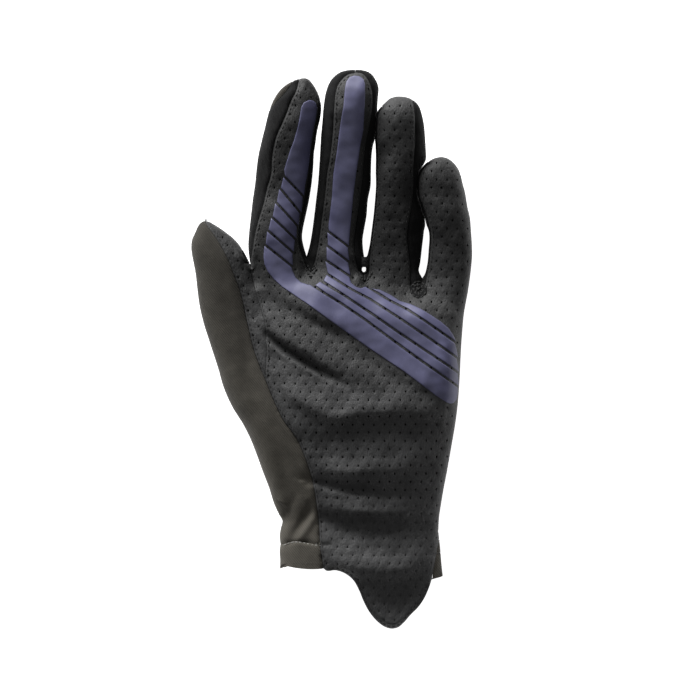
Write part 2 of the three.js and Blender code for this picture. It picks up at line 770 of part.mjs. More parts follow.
const glove = new THREE.Group();
function addNode(name, cut, material) {
  // Slivers that the cuts leave beside a piece are dropped.
  const [solid] = cut.decompose().sort((a, b) => b.volume() - a.volume());
  const { vertProperties, numProp, numVert, triVerts } = solid.getMesh();
  const positions = new Float32Array(numVert * 3);
  for (let i = 0; i < numVert; i++)
    positions.set(vertProperties.subarray(i * numProp, i * numProp + 3), i * 3);
  const geometry = new THREE.BufferGeometry();
  geometry.setAttribute("position", new THREE.BufferAttribute(positions, 3));
  geometry.setIndex(new THREE.BufferAttribute(triVerts, 1));
  const mesh = new THREE.Mesh(geometry, material);
  mesh.name = name;
  glove.add(mesh);
}
for (const [name, solid] of Object.entries(panels))
  addNode(name, solid, finishes[name] ?? knitFinish);
for (const [name, zone] of Object.entries(grips))
  addNode(name, gripSkin.intersect(zone), gripFinish);

// The origin is on the floor, under the middle of the glove's plan.
const bounds = new THREE.Box3().setFromObject(glove);
const middle = bounds.getCenter(new THREE.Vector3());
glove.position.set(-middle.x, -middle.y, -bounds.min.z);

export default glove;
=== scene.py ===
"""The looks of a cycling glove, palm side up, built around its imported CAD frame."""

import math

import bpy
import numpy as np
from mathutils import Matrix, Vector
from mathutils.geometry import delaunay_2d_cdt
from mathutils.kdtree import KDTree


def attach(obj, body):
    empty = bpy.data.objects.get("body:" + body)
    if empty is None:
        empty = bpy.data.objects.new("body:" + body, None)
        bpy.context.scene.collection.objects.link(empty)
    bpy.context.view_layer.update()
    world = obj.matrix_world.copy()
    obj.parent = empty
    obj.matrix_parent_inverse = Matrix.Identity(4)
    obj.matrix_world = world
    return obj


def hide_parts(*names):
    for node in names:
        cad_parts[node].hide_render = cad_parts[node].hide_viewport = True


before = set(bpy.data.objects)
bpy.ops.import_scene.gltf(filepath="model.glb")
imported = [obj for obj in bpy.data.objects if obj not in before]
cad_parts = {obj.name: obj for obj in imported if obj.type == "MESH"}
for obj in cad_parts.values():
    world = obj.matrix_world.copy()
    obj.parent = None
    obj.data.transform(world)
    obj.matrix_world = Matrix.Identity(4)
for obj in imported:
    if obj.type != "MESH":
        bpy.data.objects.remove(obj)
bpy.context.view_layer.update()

# Plan lines are written in units of the view, 0.42 mm each, x to the right and y down.
UNIT = 0.42
CENTRE_X = 331.5
CENTRE_Y = 350
MM = 0.001
GRID = 0.85  # spacing of the surface points, mm
STEP = 0.8  # spacing of points along outlines and seams, mm


def plan(points):
    """View units to mm, y up, around the frame's origin."""
    a = np.array(points, float).reshape(-1, 2)
    return np.column_stack([(a[:, 0] - CENTRE_X) * UNIT, (CENTRE_Y - a[:, 1]) * UNIT])


def hermite(x, xs, ys):
    """Smooth values between the rows of a table; xs rises."""
    xs = np.array(xs, float)
    ys = np.array(ys, float)
    slope = np.gradient(ys, xs, axis=0)
    k = np.clip(np.searchsorted(xs, x, side="right") - 1, 0, len(xs) - 2)
    h = xs[k + 1] - xs[k]
    u = np.clip((x - xs[k]) / h, 0, 1)
    if ys.ndim > 1:
        h = h[:, None]
        u = u[:, None]
    return (
        (2 * u**3 - 3 * u**2 + 1) * ys[k]
        + (u**3 - 2 * u**2 + u) * h * slope[k]
        + (3 * u**2 - 2 * u**3) * ys[k + 1]
        + (u**3 - u**2) * h * slope[k + 1]
    )


def curve(points, step=STEP):
    """A smooth line through plan points, in mm, with evenly spaced points."""
    p = plan(points)
    s = np.concatenate([[0], np.cumsum(np.linalg.norm(np.diff(p, axis=0), axis=1))])
    count = max(2, int(round(s[-1] / step)))
    return hermite(np.linspace(0, s[-1], count + 1), s, p)


def join(*lines):
    """Lines end to end, without doubled points."""
    whole = [lines[0]]
    for line in lines[1:]:
        gap = np.linalg.norm(line[0] - whole[-1][-1])
        whole.append(line[1:] if gap < 0.3 else line)
    return np.concatenate(whole)


def closed_line(loop):
    """The loop with its first point once more at its end."""
    return np.concatenate([loop, loop[:1]])


def nearest(points, line):
    """Distance from each point to a line, and where on the line, in rows."""
    a = line[:-1]
    ab = line[1:] - a
    size = np.maximum((ab**2).sum(1), 1e-12)
    far = np.empty(len(points))
    at = np.empty(len(points))
    for i in range(0, len(points), 8000):
        p = points[i : i + 8000, None, :] - a[None]
        t = np.clip((p * ab).sum(2) / size, 0, 1)
        d = ((p - t[..., None] * ab) ** 2).sum(2)
        k = d.argmin(1)
        rows = np.arange(len(k))
        far[i : i + 8000] = np.sqrt(d[rows, k])
        at[i : i + 8000] = k + t[rows, k]
    return far, at


def inside(points, polygon):
    """Whether each point is inside a closed polygon."""
    a = polygon
    b = np.roll(polygon, -1, axis=0)
    found = np.zeros(len(points), bool)
    for i in range(0, len(points), 8000):
        x = points[i : i + 8000, 0:1]
        y = points[i : i + 8000, 1:2]
        crosses = (a[:, 1] > y) != (b[:, 1] > y)
        rise = np.where(b[:, 1] == a[:, 1], 1, b[:, 1] - a[:, 1])
        left = x < a[:, 0] + (y - a[:, 1]) / rise * (b[:, 0] - a[:, 0])
        found[i : i + 8000] = (crosses & left).sum(1) % 2 == 1
    return found


# Outlines in plan
thumb_left = curve(
    [(205, 220.6), (202.9, 221), (200.5, 222.6), (199.1, 224), (196.7, 228.1), (195.1, 231.9),
     (191.7, 240), (191, 248.1), (192, 256), (193.6, 264), (195.1, 271.9), (197, 288.1),
     (199.1, 304), (202.6, 320), (210.1, 344), (217.9, 368.1), (224.1, 389), (232.9, 408.1),
     (242.9, 424), (251, 440), (257.2, 456), (262.9, 471.9), (269.1, 488.1), (274.1, 504),
     (278.6, 514), (282.4, 521.5), (280.8, 528), (279.6, 536), (280.2, 544.5), (279.5, 551),
     (280, 560), (279.8, 569)]
)
hem_low = curve([(279.8, 569), (286.6, 566), (294, 567), (301.8, 567.8), (312, 568.2), (323.4, 567.6)])
tab_edge = curve(
    [(323.4, 567.6), (326.3, 569.6), (335.7, 569.2), (344.6, 572.1), (352.7, 578.4),
     (358.9, 589.1), (363.4, 600.2), (368.8, 610.3), (377.7, 621), (385, 626.2), (392, 628),
     (398, 626.6), (404, 621.6), (410, 614.6), (418, 606.6), (424, 598), (428.6, 588), (431.8, 579)]
)
corner_low = curve([(431.8, 579), (437, 577.8), (443, 576.4)])
hand_right = curve(
    [(443, 576.4), (441.6, 564), (440.3, 548), (438.7, 532), (439.2, 518), (441.2, 504),
     (443.9, 488.1), (447, 471.9), (449.8, 456), (452.6, 440), (455.3, 424), (457.4, 408.1),
     (458.8, 391.9), (459.8, 376), (460.5, 360), (461.4, 344), (462.6, 328.1), (464.2, 312),
     (466, 302), (468, 292)]
)
little_right = curve(
    [(468, 292), (469.8, 280), (471.6, 264), (472.2, 248.1), (471.3, 231.9), (469.8, 216),
     (467.9, 208.1), (466.5, 200), (465.1, 191.9), (462.9, 184), (461, 176), (458.2, 168.8),
     (453.9, 163.1), (449.4, 159.4), (446, 157.8), (442, 157), (437.9, 157.4)]
)
little_left = curve(
    [(437.9, 157.4), (433, 159), (428.9, 161.7), (424.6, 165.7), (420.8, 171), (418.4, 178),
     (418, 190), (419, 198), (421, 204.5), (423.6, 211.5), (425.7, 218.5), (427.6, 226),
     (429.2, 234), (428.7, 250), (427, 266), (424.6, 274.5), (422.4, 278)]
)
ring_right = curve(
    [(422.4, 278), (419, 271), (420.3, 263), (422.3, 246), (424.1, 231), (424.6, 224),
     (424.2, 219), (422.3, 212), (419.8, 205), (417.6, 198.5), (416.9, 190), (417.3, 178),
     (419.5, 170), (423.2, 163.4), (426.2, 157.3), (426, 152), (425.5, 143.5), (425, 136),
     (423.8, 124), (421.4, 113.4), (419.6, 108), (416.6, 103.6), (413, 100.6), (408, 98.2),
     (402, 97.1), (396, 97)]
)
ring_left = curve(
    [(396, 97), (390, 98.9), (385, 103.2), (381, 107.3), (378.3, 111.5), (376.8, 118),
     (376.2, 128), (375.8, 136), (375.4, 143), (375.8, 155), (375.7, 171), (375.9, 187),
     (375, 200), (373.8, 213), (371.7, 230), (369.1, 248), (367.4, 255)]
)
# Between the middle and ring fingers the outlines nearly meet above a small hole at the web.
slit_right = plan([(367.4, 255), (365.6, 258), (365.05, 261), (365, 264), (365.05, 266.4), (365.6, 267.2),
                   (365.9, 268.4), (365.9, 270), (365.3, 271.2), (364, 272)])
slit_left = plan([(364, 272), (362.8, 271.5), (362.1, 270.4), (361.9, 269), (362.2, 267.8), (363, 266.9),
                  (364.7, 266.4), (364.75, 264), (364.7, 261), (364.4, 258), (363.7, 254)])
ring_left = join(ring_left, slit_right)
middle_right = curve(
    [(363.7, 254), (363, 248), (362.6, 240),
     (364.4, 228), (366.4, 217), (368, 199), (370.6, 186), (371, 171), (372, 152), (373.6, 142),
     (374.8, 135), (375.4, 126), (376, 117), (377, 110.3), (377.9, 98), (378.5, 88.4),
     (377.2, 83.6), (375, 79.6), (372.4, 75.8), (369, 73.2), (363, 71.2), (355, 70.6)]
)
middle_right = join(slit_left, middle_right)
middle_left = curve(
    [(355, 70.6), (346, 71.4), (340.1, 73.2), (335.3, 76.4), (331.4, 80.4), (328.9, 84.6),
     (327, 89.5), (325.2, 96), (324, 104), (323.1, 111.9), (322.5, 120), (321, 136),
     (320.1, 151.9), (319.1, 168.1), (317.9, 184), (316, 200), (314.1, 216), (312, 231.9),
     (309.2, 247), (306.6, 256)]
)
index_right = curve(
    [(306.6, 256), (303.8, 247), (302, 236), (303, 228), (305.6, 216), (309, 200), (311.6, 184),
     (313.2, 168.1), (314.2, 151.9), (315.5, 144), (316.5, 136), (318, 128.1), (320, 120),
     (321.2, 111.9), (321, 104), (318.9, 96), (315.3, 88.4), (312, 83.6), (309.1, 80.4),
     (305, 78.9), (301, 79.3)]
)
index_left = curve(
    [(301, 79.3), (297, 80.3), (288.3, 84.2), (282, 88.9), (276.2, 96), (272, 104),
     (269.1, 111.9), (266.9, 120), (265, 128.1), (262.9, 136), (261, 144), (259.1, 151.9),
     (256.6, 168.1), (255, 184), (252.6, 200), (250.8, 216), (249, 231.9), (248.2, 246),
     (249, 256), (250.2, 264.5)]
)
thumb_right = curve(
    [(250.2, 264.5), (246.6, 257), (241.5, 248.1), (235.1, 240), (225.3, 231.9), (220.1, 228.1),
     (213.4, 224), (209.5, 221.8), (205, 220.6)]
)

around = [thumb_left, hem_low, tab_edge, corner_low, hand_right, little_right, little_left,
          ring_right, ring_left, middle_right, middle_left, index_right, index_left, thumb_right]
silhouette = join(*around, thumb_left[:1])[:-1]
back_low = curve([(279.8, 569), (300, 569.8), (320, 570.9), (350, 572), (380, 573.4), (443, 576.4)])

# The tubes that the form is made of. Each has the line that its height falls off from.
finger_table = {
    "index": (40.1, 73.9, 1.0, index_left, index_right, (255, 300), (318, 300)),
    "middle": (34.7, 82.2, 1.0, middle_left, middle_right, (304, 306), (367, 306)),
    "ring": (29.6, 76.3, 0.971, ring_left, ring_right, (366, 316), (417, 316)),
    "little": (25.3, 54.9, 0.886, little_left, little_right, (417, 322), (464, 322)),
}
finger_shares = {
    "index": [0.9, 1, 0.92, 0.96, 0.88, 0.9],
    "middle": [0.86, 0.91, 0.94, 0.97, 0.88, 0.9],
    "ring": [0.78, 0.83, 0.94, 0.98, 0.88, 0.9],
    "little": [0.84, 0.88, 0.93, 0.97, 0.88, 0.9],
}
# How much the front of a finger is lifted, in mm, from below its root to its tip.
LIFT_AT = [-0.25, 0, 0.06, 0.15, 0.25, 0.35, 0.6, 0.72, 0.86, 1]
finger_lifts = {
    "index": [0, 0.2, 0.5, 0.8, 0.6, 0.3, -0.3, -0.1, -0.1, -0.6],
    "middle": [-1.0, -1.3, -0.7, -1.8, -1.7, -0.5, 1.6, 1.9, 1.2, -0.3],
    "ring": [-2.0, -2.8, -2.6, -2.2, -1.4, -0.4, 1.9, 2.0, 1.2, -0.2],
    "little": [-1.2, -1.8, -1.6, -1.2, -0.7, -0.1, 0.9, 1.0, 0.4, -0.4],
}
FINGER_DEPTH = 17.5
FINGER_LIFT = 1.2
FINGER_NARROW = 5  # half width that a finger's form has at least
TIP_WIDTH_AT = 13  # a fingertip is as wide as the finger this far below it
WIDEST = 0.42  # share of the depth at which a form is widest
INWARD = 1.03
OUTWARD = 10
DOME = 2.3256
WEB_Y = 32.5
ROOT_SINK = 0.015  # how fast a finger's form sinks into the hand below its root


CURL_RISE = 7.5
CURL_LENGTH = 84


def curl(y):
    """How far the fingers rise off the table towards their tips."""
    return CURL_RISE * (np.maximum(0, y - WEB_Y) / CURL_LENGTH) ** 2


def dome(q):
    """The front's rise from the outline, 0, to the middle, 1."""
    q = np.clip(q, 0, 1)
    return (1 - (1 - q) ** DOME) ** (1 / DOME)


def cup(q):
    """The same for the back, which is flattened where it would lie on the table."""
    q = np.clip(q, 0, 1)
    c = 1.28 * np.sqrt(np.maximum(0, 1 - (1 - q) ** 2))
    return np.where(c < 0.8, c, 1 - 0.2 * np.exp(-(c - 0.8) / 0.2))


def finger_form(name, p):
    """Lowest, widest and highest height of a finger over the plan points, and how far in they are."""
    root, long, deep, down, up, low_left, low_right = finger_table[name]
    # Both lines run round the tip: up the right side and down the left.
    line = np.concatenate([plan([low_right]), up, down[1:], plan([low_left])])
    far, _ = nearest(p, line)
    tip = line[:, 1].max()
    below_tip = np.minimum(p[:, 1], tip - TIP_WIDTH_AT)
    up_order = up[np.argsort(up[:, 1])]
    down_order = down[np.argsort(down[:, 1])]
    low_y = max(up_order[0, 1], down_order[0, 1])
    y = np.maximum(below_tip, low_y)
    right = np.interp(y, up_order[:, 1], up_order[:, 0])
    left = np.interp(y, down_order[:, 1], down_order[:, 0])
    within = inside(p, line)
    q = np.where(within, far / np.maximum((right - left) / 2, FINGER_NARROW) * INWARD, -far / OUTWARD)
    at = (p[:, 1] - root) / long
    share = deep * hermite(at, [-0.2, 0, 0.4, 0.55, 0.76, 1], finger_shares[name])
    low = FINGER_LIFT + curl(p[:, 1]) + (1 - share) * FINGER_DEPTH / 2
    sink = np.minimum(ROOT_SINK * np.maximum(0, root - p[:, 1]) ** 2, (share * FINGER_DEPTH - 1) / 2)
    lift = hermite(at, LIFT_AT, finger_lifts[name])
    return low + 2 * sink * WIDEST, share * FINGER_DEPTH - 2 * sink, q, lift


thumb_line = np.concatenate(
    [curve([(310, 520), (303, 480), (296, 456), (292, 440), (287.9, 424), (284.1, 408.1), (280.1, 391.9),
            (274.1, 368.1), (267.9, 344), (262.9, 320), (259.6, 304), (257, 288.1), (253.6, 274),
            (250.2, 264.5)]),
     thumb_right[1:], thumb_left[1:]]
)
thumb_cut = thumb_line[: len(thumb_line) - np.argmax(thumb_left[::-1, 1] > -62)]


THUMB_ROOT = -54.9
THUMB_LENGTH = 108.4
THUMB_DEPTH = 19
THUMB_NARROW = 5.5
# Rows of y, left side and right side of the thumb, in mm
thumb_sides = np.array([
    (-71, -22, -9), (-44.5, -31.7, -14.9), (-31.1, -37.2, -18.3), (-17.6, -45.1, -21.6),
    (-7.6, -47.7, -24.1), (2.5, -51, -26.7), (12.6, -54.4, -28.8), (19.3, -55.6, -30.2),
    (26, -56.5, -31.3), (32.8, -57.3, -33), (40, -58.6, -36.2),
])


def thumb_form(p):
    far, _ = nearest(p, thumb_cut)
    within = inside(p, thumb_cut)
    y = p[:, 1]
    left = np.interp(y, thumb_sides[:, 0], thumb_sides[:, 1])
    right = np.interp(y, thumb_sides[:, 0], thumb_sides[:, 2])
    at = (y - THUMB_ROOT) / THUMB_LENGTH
    share = hermite(
        at,
        [-0.2, -0.08, 0, 0.124, 0.248, 0.341, 0.465, 0.558, 0.659, 0.775, 0.868, 0.93, 1],
        [0.5, 0.8, 0.95, 1.08, 1.1, 1.08, 1.03, 1, 0.95, 0.9, 0.84, 0.74, 0.62],
    )
    half = np.maximum((right - left) / 2, THUMB_NARROW)
    q = np.where(within, far / half * INWARD, -far / OUTWARD)
    low = 1 + np.maximum(0, 1 - share) * THUMB_DEPTH / 3
    return low, share * THUMB_DEPTH, q, 0


lower_left = thumb_left[np.argmax(thumb_left[:, 1] < -37.5):]
upper_left = curve([(250, 250), (250, 266), (250.5, 290), (250, 328), (247.5, 368), (246.5, 400),
                    (247, 424)])
hand_left = np.concatenate([upper_left, lower_left])
hand_left_line = np.concatenate([hand_left, plan([(279.8, 640)])])
hand_right_line = np.concatenate([plan([(443, 640)]), hand_right, plan([(469, 280), (472, 250)])])
hand_end = curve([(236, 256), (262, 257), (285, 262), (311, 269), (340, 268), (364, 278), (378, 288),
                  (392, 293), (405, 294), (418, 291), (440, 285), (478, 262)])
HAND_LOW_Y = -92.694
HAND_LENGTH = 132
HAND_HALF = 42  # the hand's form rises over this width from either side
HAND_DEPTH = 27
HAND_LIFT = 1.2
END_RUN = 17  # it ends over this length at the fingers' roots
SIDE_RUN = 2.2  # how much faster the back curves in than the front
# Rows of place along the hand, share of the depth and share of the lift
hand_table = [
    (-0.3, 0.6, 0), (-0.2, 0.62, 0), (-0.1, 0.72, 0), (0, 0.78, 0), (0.07, 0.79, 0), (0.13, 0.8, 0),
    (0.235, 0.86, 0), (0.29, 0.9, 0), (0.39, 0.96, 0), (0.54, 1, 0), (0.67, 0.99, 0), (0.765, 0.93, 0),
    (0.86, 0.83, 0.1), (0.93, 0.75, 0.6), (0.965, 0.7, 1.2), (1.05, 0.66, 1.8),
]


def hand_form(p):
    at = (p[:, 1] - HAND_LOW_Y) / HAND_LENGTH
    rows = hermite(at, [r[0] for r in hand_table], [r[1:] for r in hand_table])
    left, _ = nearest(p, hand_left_line)
    right, _ = nearest(p, hand_right_line)
    end, _ = nearest(p, hand_end)
    body = np.concatenate([hand_left_line, hand_right_line, hand_end[::-1]])
    within = inside(p, body)
    side = np.minimum(left, right) / HAND_HALF
    return rows[:, 1] * HAND_LIFT, rows[:, 0] * HAND_DEPTH, side, end / END_RUN, within


# Folds of the palm leather and the cloth, drawn from left to right: points, heights in mm along them,
# and the width in mm, of the upper and of the lower side where they differ.
folds = [
    ([(264, 331), (268, 335), (279, 344), (294, 354), (314, 366), (334, 378), (350, 387)],
     [-0.6, -4.2, -6.2, -6.0, -4.0, -1.4, 0], (1.5, 1.7)),
    ([(268, 324), (284, 335), (300, 345), (320, 357), (340, 369)], [0.2, 0.6, 0.8, 0.7, 0.2], (4.0, 2.0)),
    ([(262, 343), (276, 354), (292, 365), (312, 377), (330, 386)],
     [-0.2, -1.2, -1.5, -1.2, -0.2], (3.0, 5.5)),
    ([(284, 303), (300, 314), (318, 325), (338, 336), (355, 347)], [0, -1.0, -1.3, -1.1, 0], (2.3, 3.2)),
    ([(270, 370), (290, 391), (310, 406), (332, 417), (363, 412), (400, 410), (430, 413), (452, 413)],
     [0, 1.0, 1.8, 2.1, 2.0, 1.9, 1.5, 0.5], (5.0, 2.6)),
    ([(296, 438), (320, 440), (350, 436), (380, 432), (415, 432), (445, 428)],
     [0, -0.6, -0.9, -0.9, -0.6, -0.2], (3.6, 4.8)),
    ([(312, 461), (330, 469), (360, 469), (395, 467), (420, 458), (433, 442)],
     [0.4, 1.6, 2.0, 1.8, 1.2, 0.2], (5.2, 3.4)),
    ([(309, 481), (325, 484), (345, 489), (380, 494), (415, 494)],
     [-1.4, -2.0, -1.5, -0.9, -0.3], (3.6, 1.6)),
    ([(314, 501), (335, 507), (355, 510), (385, 512), (412, 509), (430, 501)],
     [0.6, 1.6, 1.8, 1.5, 1.0, 0.1], (3.8, 2.6)),
    ([(316, 512), (335, 523), (355, 531), (375, 534), (398, 527), (415, 520)],
     [-0.9, -1.2, -1.0, -0.7, -0.5, 0], (3.0, 3.0)),
    ([(321, 534), (328, 550), (340, 560), (362, 567), (385, 570), (408, 566), (424, 556)],
     [0.6, 1.9, 2.6, 2.8, 2.8, 2.3, 0.6], (6.6, 4.4)),
    ([(362, 612), (385, 630), (405, 626), (424, 604)], [0.8, 2.6, 2.6, 0.8], (6.5, 6.0)),
    ([(296, 322), (306, 305), (317, 285)], [0.4, 1.2, 1.0], (6.5, 8.0)),
    ([(290, 541), (298, 529), (306, 515), (313, 500)], [-0.5, -1.2, -1.2, -0.4], (1.8, 2.2)),
    ([(296, 541), (304, 531), (312, 519), (317, 506)], [0.3, 0.9, 1.0, 0.3], 1.7),
    ([(283, 520), (290, 506), (296, 494)], [-1.0, -0.8, -0.2], 2.0),
    ([(380, 219.7), (390, 219.3), (403, 219.9), (410, 221)], [-0.05, -0.2, -0.2, -0.05], 1.2),
    ([(382, 146), (395, 144), (410, 146)], [-0.1, -0.2, -0.1], 1.6),
    ([(389, 262), (389, 285), (390, 296)], [0.2, 0.8, 0.3], 5.0),
    ([(300, 262), (299, 272)], [0.6, 0.6], 2.0),
    ([(257, 274), (259, 292), (260, 306), (261, 318)], [-0.2, -0.5, -0.5, -0.1], 2.4),
    ([(322, 326), (345, 342), (375, 363), (402, 380), (418, 390)], [0, -1.6, -2.8, -2.2, 0], (10.5, 4.6)),
    ([(453, 318), (451, 345), (449, 372), (447, 398)], [0.6, 1.8, 2.0, 1.2], (3.0, 8.0)),
    ([(258, 258), (270, 272), (282, 284), (292, 292)], [0.3, 1.5, 1.4, 0.4], (5.0, 6.0)),
    ([(338, 80), (355, 76), (372, 80)], [-0.5, -0.7, -0.5], 8.0),
    ([(384, 106), (400, 100), (416, 106)], [-0.6, -0.9, -0.6], 7.0),
    ([(286, 92), (301, 84), (316, 92)], [-1.2, -1.8, -1.2], 8.0),
    ([(262, 152), (288, 151), (314, 149)], [-0.2, -0.4, -0.4], 5.0),
    ([(270, 124), (292, 121), (318, 117)], [0.3, 0.5, 0.5], 4.5),
    ([(326, 112), (350, 112), (374, 112)], [0.5, 1.0, 0.5], (5.5, 4.0)),
    ([(322, 150), (348, 150), (370, 149)], [-0.3, -0.6, -0.3], 5.5),
    ([(316, 222), (336, 222), (354, 222)], [-0.1, -0.2, -0.1], 4.0),
    ([(378, 124), (400, 122), (420, 124)], [0, 0.6, 0.3], (5.0, 6.5)),
    ([(421, 186), (445, 182), (462, 186)], [0, 0.5, 0.3], (5.0, 6.5)),
    ([(272, 292), (296, 303), (324, 317), (350, 328)], [0.3, 0.8, 0.8, 0.3], 3.6),
    ([(350, 306), (380, 326), (410, 347), (430, 360)], [-0.3, -0.9, -0.9, -0.2], 4.2),
    ([(392, 300), (420, 318), (448, 338)], [0.2, 0.7, 0.3], 3.4),
    ([(398, 372), (430, 386), (452, 396)], [0.3, 0.8, 0.3], 3.0),
]

# Where fingers touch: the finger right of each line lies on the one left of it.
contacts = [
    curve([(379.6, 95), (377.6, 108), (376.6, 117), (375.8, 127), (375.4, 136), (374.6, 145), (374, 158)]),
    curve([(433, 146), (427, 156.6), (423.9, 163.8), (420.2, 170.4), (417.9, 178), (417.5, 190),
           (418.2, 198.3), (420.6, 204.8), (423.2, 211.8), (425.3, 218.8), (426.4, 225), (427, 230),
           (428.6, 243)]),
]
LAP_SHIFTS = (0.31, 0.38)  # how far each side moves across its contact line
LAP_RISE = 2.1
LAP_END = 6.5  # the rise grows to its full height over this length
LAP_EXTRA = 5.2  # the shift starts this far in from the ends of the rise
LAP_FADE = 2.5
RISE_WIDTH = 6
SHIFT_WIDTH = 2.2


def smooth_step(t):
    t = np.clip(t, 0, 1)
    return t * t * (3 - 2 * t)


def lap(v):
    """Fingers that touch: one side rises, the other sinks, and they reach over each other a little."""
    v = v.copy()
    p = v[:, :2].copy()
    for line, reach in zip(contacts, LAP_SHIFTS):
        far, at = nearest(p, line)
        length = len(line) - 1
        into = np.minimum(at, length - at) * STEP
        rise = LAP_RISE * smooth_step(into / LAP_END)
        shift = reach * smooth_step((into - LAP_EXTRA) / LAP_FADE)
        row = np.clip(at.astype(int), 0, length - 1)
        ahead = line[row + 1] - line[row]
        ahead /= np.linalg.norm(ahead, axis=1)[:, None]
        across = np.column_stack([-ahead[:, 1], ahead[:, 0]])
        side = np.sign(((p - line[row]) * across).sum(1))
        v[:, 2] += rise * np.exp(-((far / RISE_WIDTH) ** 2)) * side
        v[:, :2] -= across * (shift * np.exp(-((far / SHIFT_WIDTH) ** 2)) * side)[:, None]
    return v


SEAM_WIDTH = 0.75
SEAM_DEPTH = 0.55
THUMB_SEAM_WIDTH = 1.2
THUMB_SEAM_SHARE = 0.3
BUMP_SIZES = ((30, 0.2, 7), (13, 0.07, 9), (5.5, 0.016, 12))  # length, height and how many waves


def bumps(p):
    """Small smooth unevenness of worn leather and cloth."""
    rng = np.random.default_rng(7)
    z = np.zeros(len(p))
    for size, height, count in BUMP_SIZES:
        for _ in range(count):
            angle = rng.uniform(0, math.pi)
            k = 2 * math.pi / (size * rng.uniform(0.75, 1.3))
            phase = rng.uniform(0, 2 * math.pi)
            z += height * np.sin(k * (p[:, 0] * math.cos(angle) + p[:, 1] * math.sin(angle)) + phase)
    return z


BLEND = 0.5  # how softly the forms join, mm
OUTSIDE_SLOPE = 12
OFF_SLOPE = 1.5
OFF_MOST = 30
OFF_START = 0.4


def soft_max(values, k):
    top = np.max(values, axis=0)
    return top + k * np.log(sum(np.exp((v - top) / k) for v in values))


def heights(p):
    """Front and back height over the plan points, in mm, without seams."""
    fronts, backs = [], []
    low, depth, side, end, within = hand_form(p)
    widest = low + WIDEST * depth
    f = widest + (1 - WIDEST) * depth * dome(side) * dome(end)
    b = widest - WIDEST * depth * cup(side * SIDE_RUN) * cup(end)
    away = np.minimum(np.minimum(side * HAND_HALF, end * END_RUN), OFF_MOST)
    off = np.where(within, 0, away * OFF_SLOPE + OFF_START)
    fronts.append(f * within + (widest - off) * ~within)
    backs.append(b * within + (widest + off) * ~within)
    forms = [thumb_form(p)] + [finger_form(n, p) for n in finger_table]
    for low, depth, q, lift in forms:
        widest = low + WIDEST * depth
        front = widest + ((1 - WIDEST) * depth + lift) * dome(q)
        back = widest - WIDEST * depth * cup(q)
        fronts.append(np.where(q >= 0, front, widest + OUTSIDE_SLOPE * q))
        backs.append(np.where(q >= 0, back, widest - OUTSIDE_SLOPE * q))
    return soft_max(fronts, BLEND), -soft_max([-v for v in backs], BLEND)


# Lines along which valleys between the forms are smoothed: how far to either side, over which run, in mm.
blend_lines = [
    (curve([(253, 262), (255, 280), (259, 300), (262, 320), (265, 345), (266, 372), (272, 400)]), 12, 7),
    (curve([(252, 272), (282, 267), (312, 274), (340, 271), (364, 281), (395, 290), (420, 297), (445, 290),
            (466, 286)]), 9, 4.5),
]
BLEND_CLEAR = 3  # mm from the outline at which the smoothing has its full strength


def front_form(p):
    """Front height with the valleys between thumb, fingers and hand smoothed out."""
    z, _ = heights(p)
    for line, spread, run in blend_lines:
        far, at = nearest(p, line)
        near = np.flatnonzero(far < spread)
        if not len(near):
            continue
        row = np.clip(at[near].astype(int), 0, len(line) - 2)
        ahead = line[row + 1] - line[row]
        ahead /= np.linalg.norm(ahead, axis=1)[:, None]
        across = np.column_stack([-ahead[:, 1], ahead[:, 0]])
        weight = np.full(len(near), 1e-6)
        mean = z[near] * 1e-6
        for d in np.linspace(-run, run, 7):
            q = p[near] + across * d
            w = smooth_step(edge_near.far(q) / BLEND_CLEAR) * inside(q, silhouette)
            weight += w
            mean += w * heights(q)[0]
        amount = smooth_step((spread - far[near]) / (0.6 * spread))
        amount *= smooth_step(edge_near.far(p[near]) / BLEND_CLEAR)
        z[near] += amount * (mean / weight - z[near])
    return z


def seam_drop(p):
    """How deep the surface sinks at the seams; the thumb's seam is a shallow one."""
    main = Points(np.concatenate([dense(l) for l in front_seams if l is not thumb_seam])).far(p)
    thumb = Points(dense(thumb_seam)).far(p)
    thumb_drop = THUMB_SEAM_SHARE * np.exp(-((thumb / THUMB_SEAM_WIDTH) ** 2))
    return SEAM_DEPTH * np.maximum(np.exp(-((main / SEAM_WIDTH) ** 2)), thumb_drop)


def fold_heights(p):
    """What the folds add to the height of the plan points."""
    z = np.zeros(len(p))
    for points, amounts, width in folds:
        upper, lower = width if isinstance(width, tuple) else (width, width)
        reach = 3 * max(upper, lower)
        fine = curve(points, 1.0)
        low, high = fine.min(0) - reach, fine.max(0) + reach
        near = np.flatnonzero(((p > low) & (p < high)).all(1))
        if not len(near):
            continue
        far, at = nearest(p[near], fine)
        row = np.clip(at.astype(int), 0, len(fine) - 2)
        ahead = fine[row + 1] - fine[row]
        away = p[near] - fine[row]
        above = ahead[:, 0] * away[:, 1] > ahead[:, 1] * away[:, 0]
        amount = np.interp(at / (len(fine) - 1), np.linspace(0, 1, len(amounts)), amounts)
        z[near] += amount * np.exp(-((far / np.where(above, upper, lower)) ** 2))
    return z


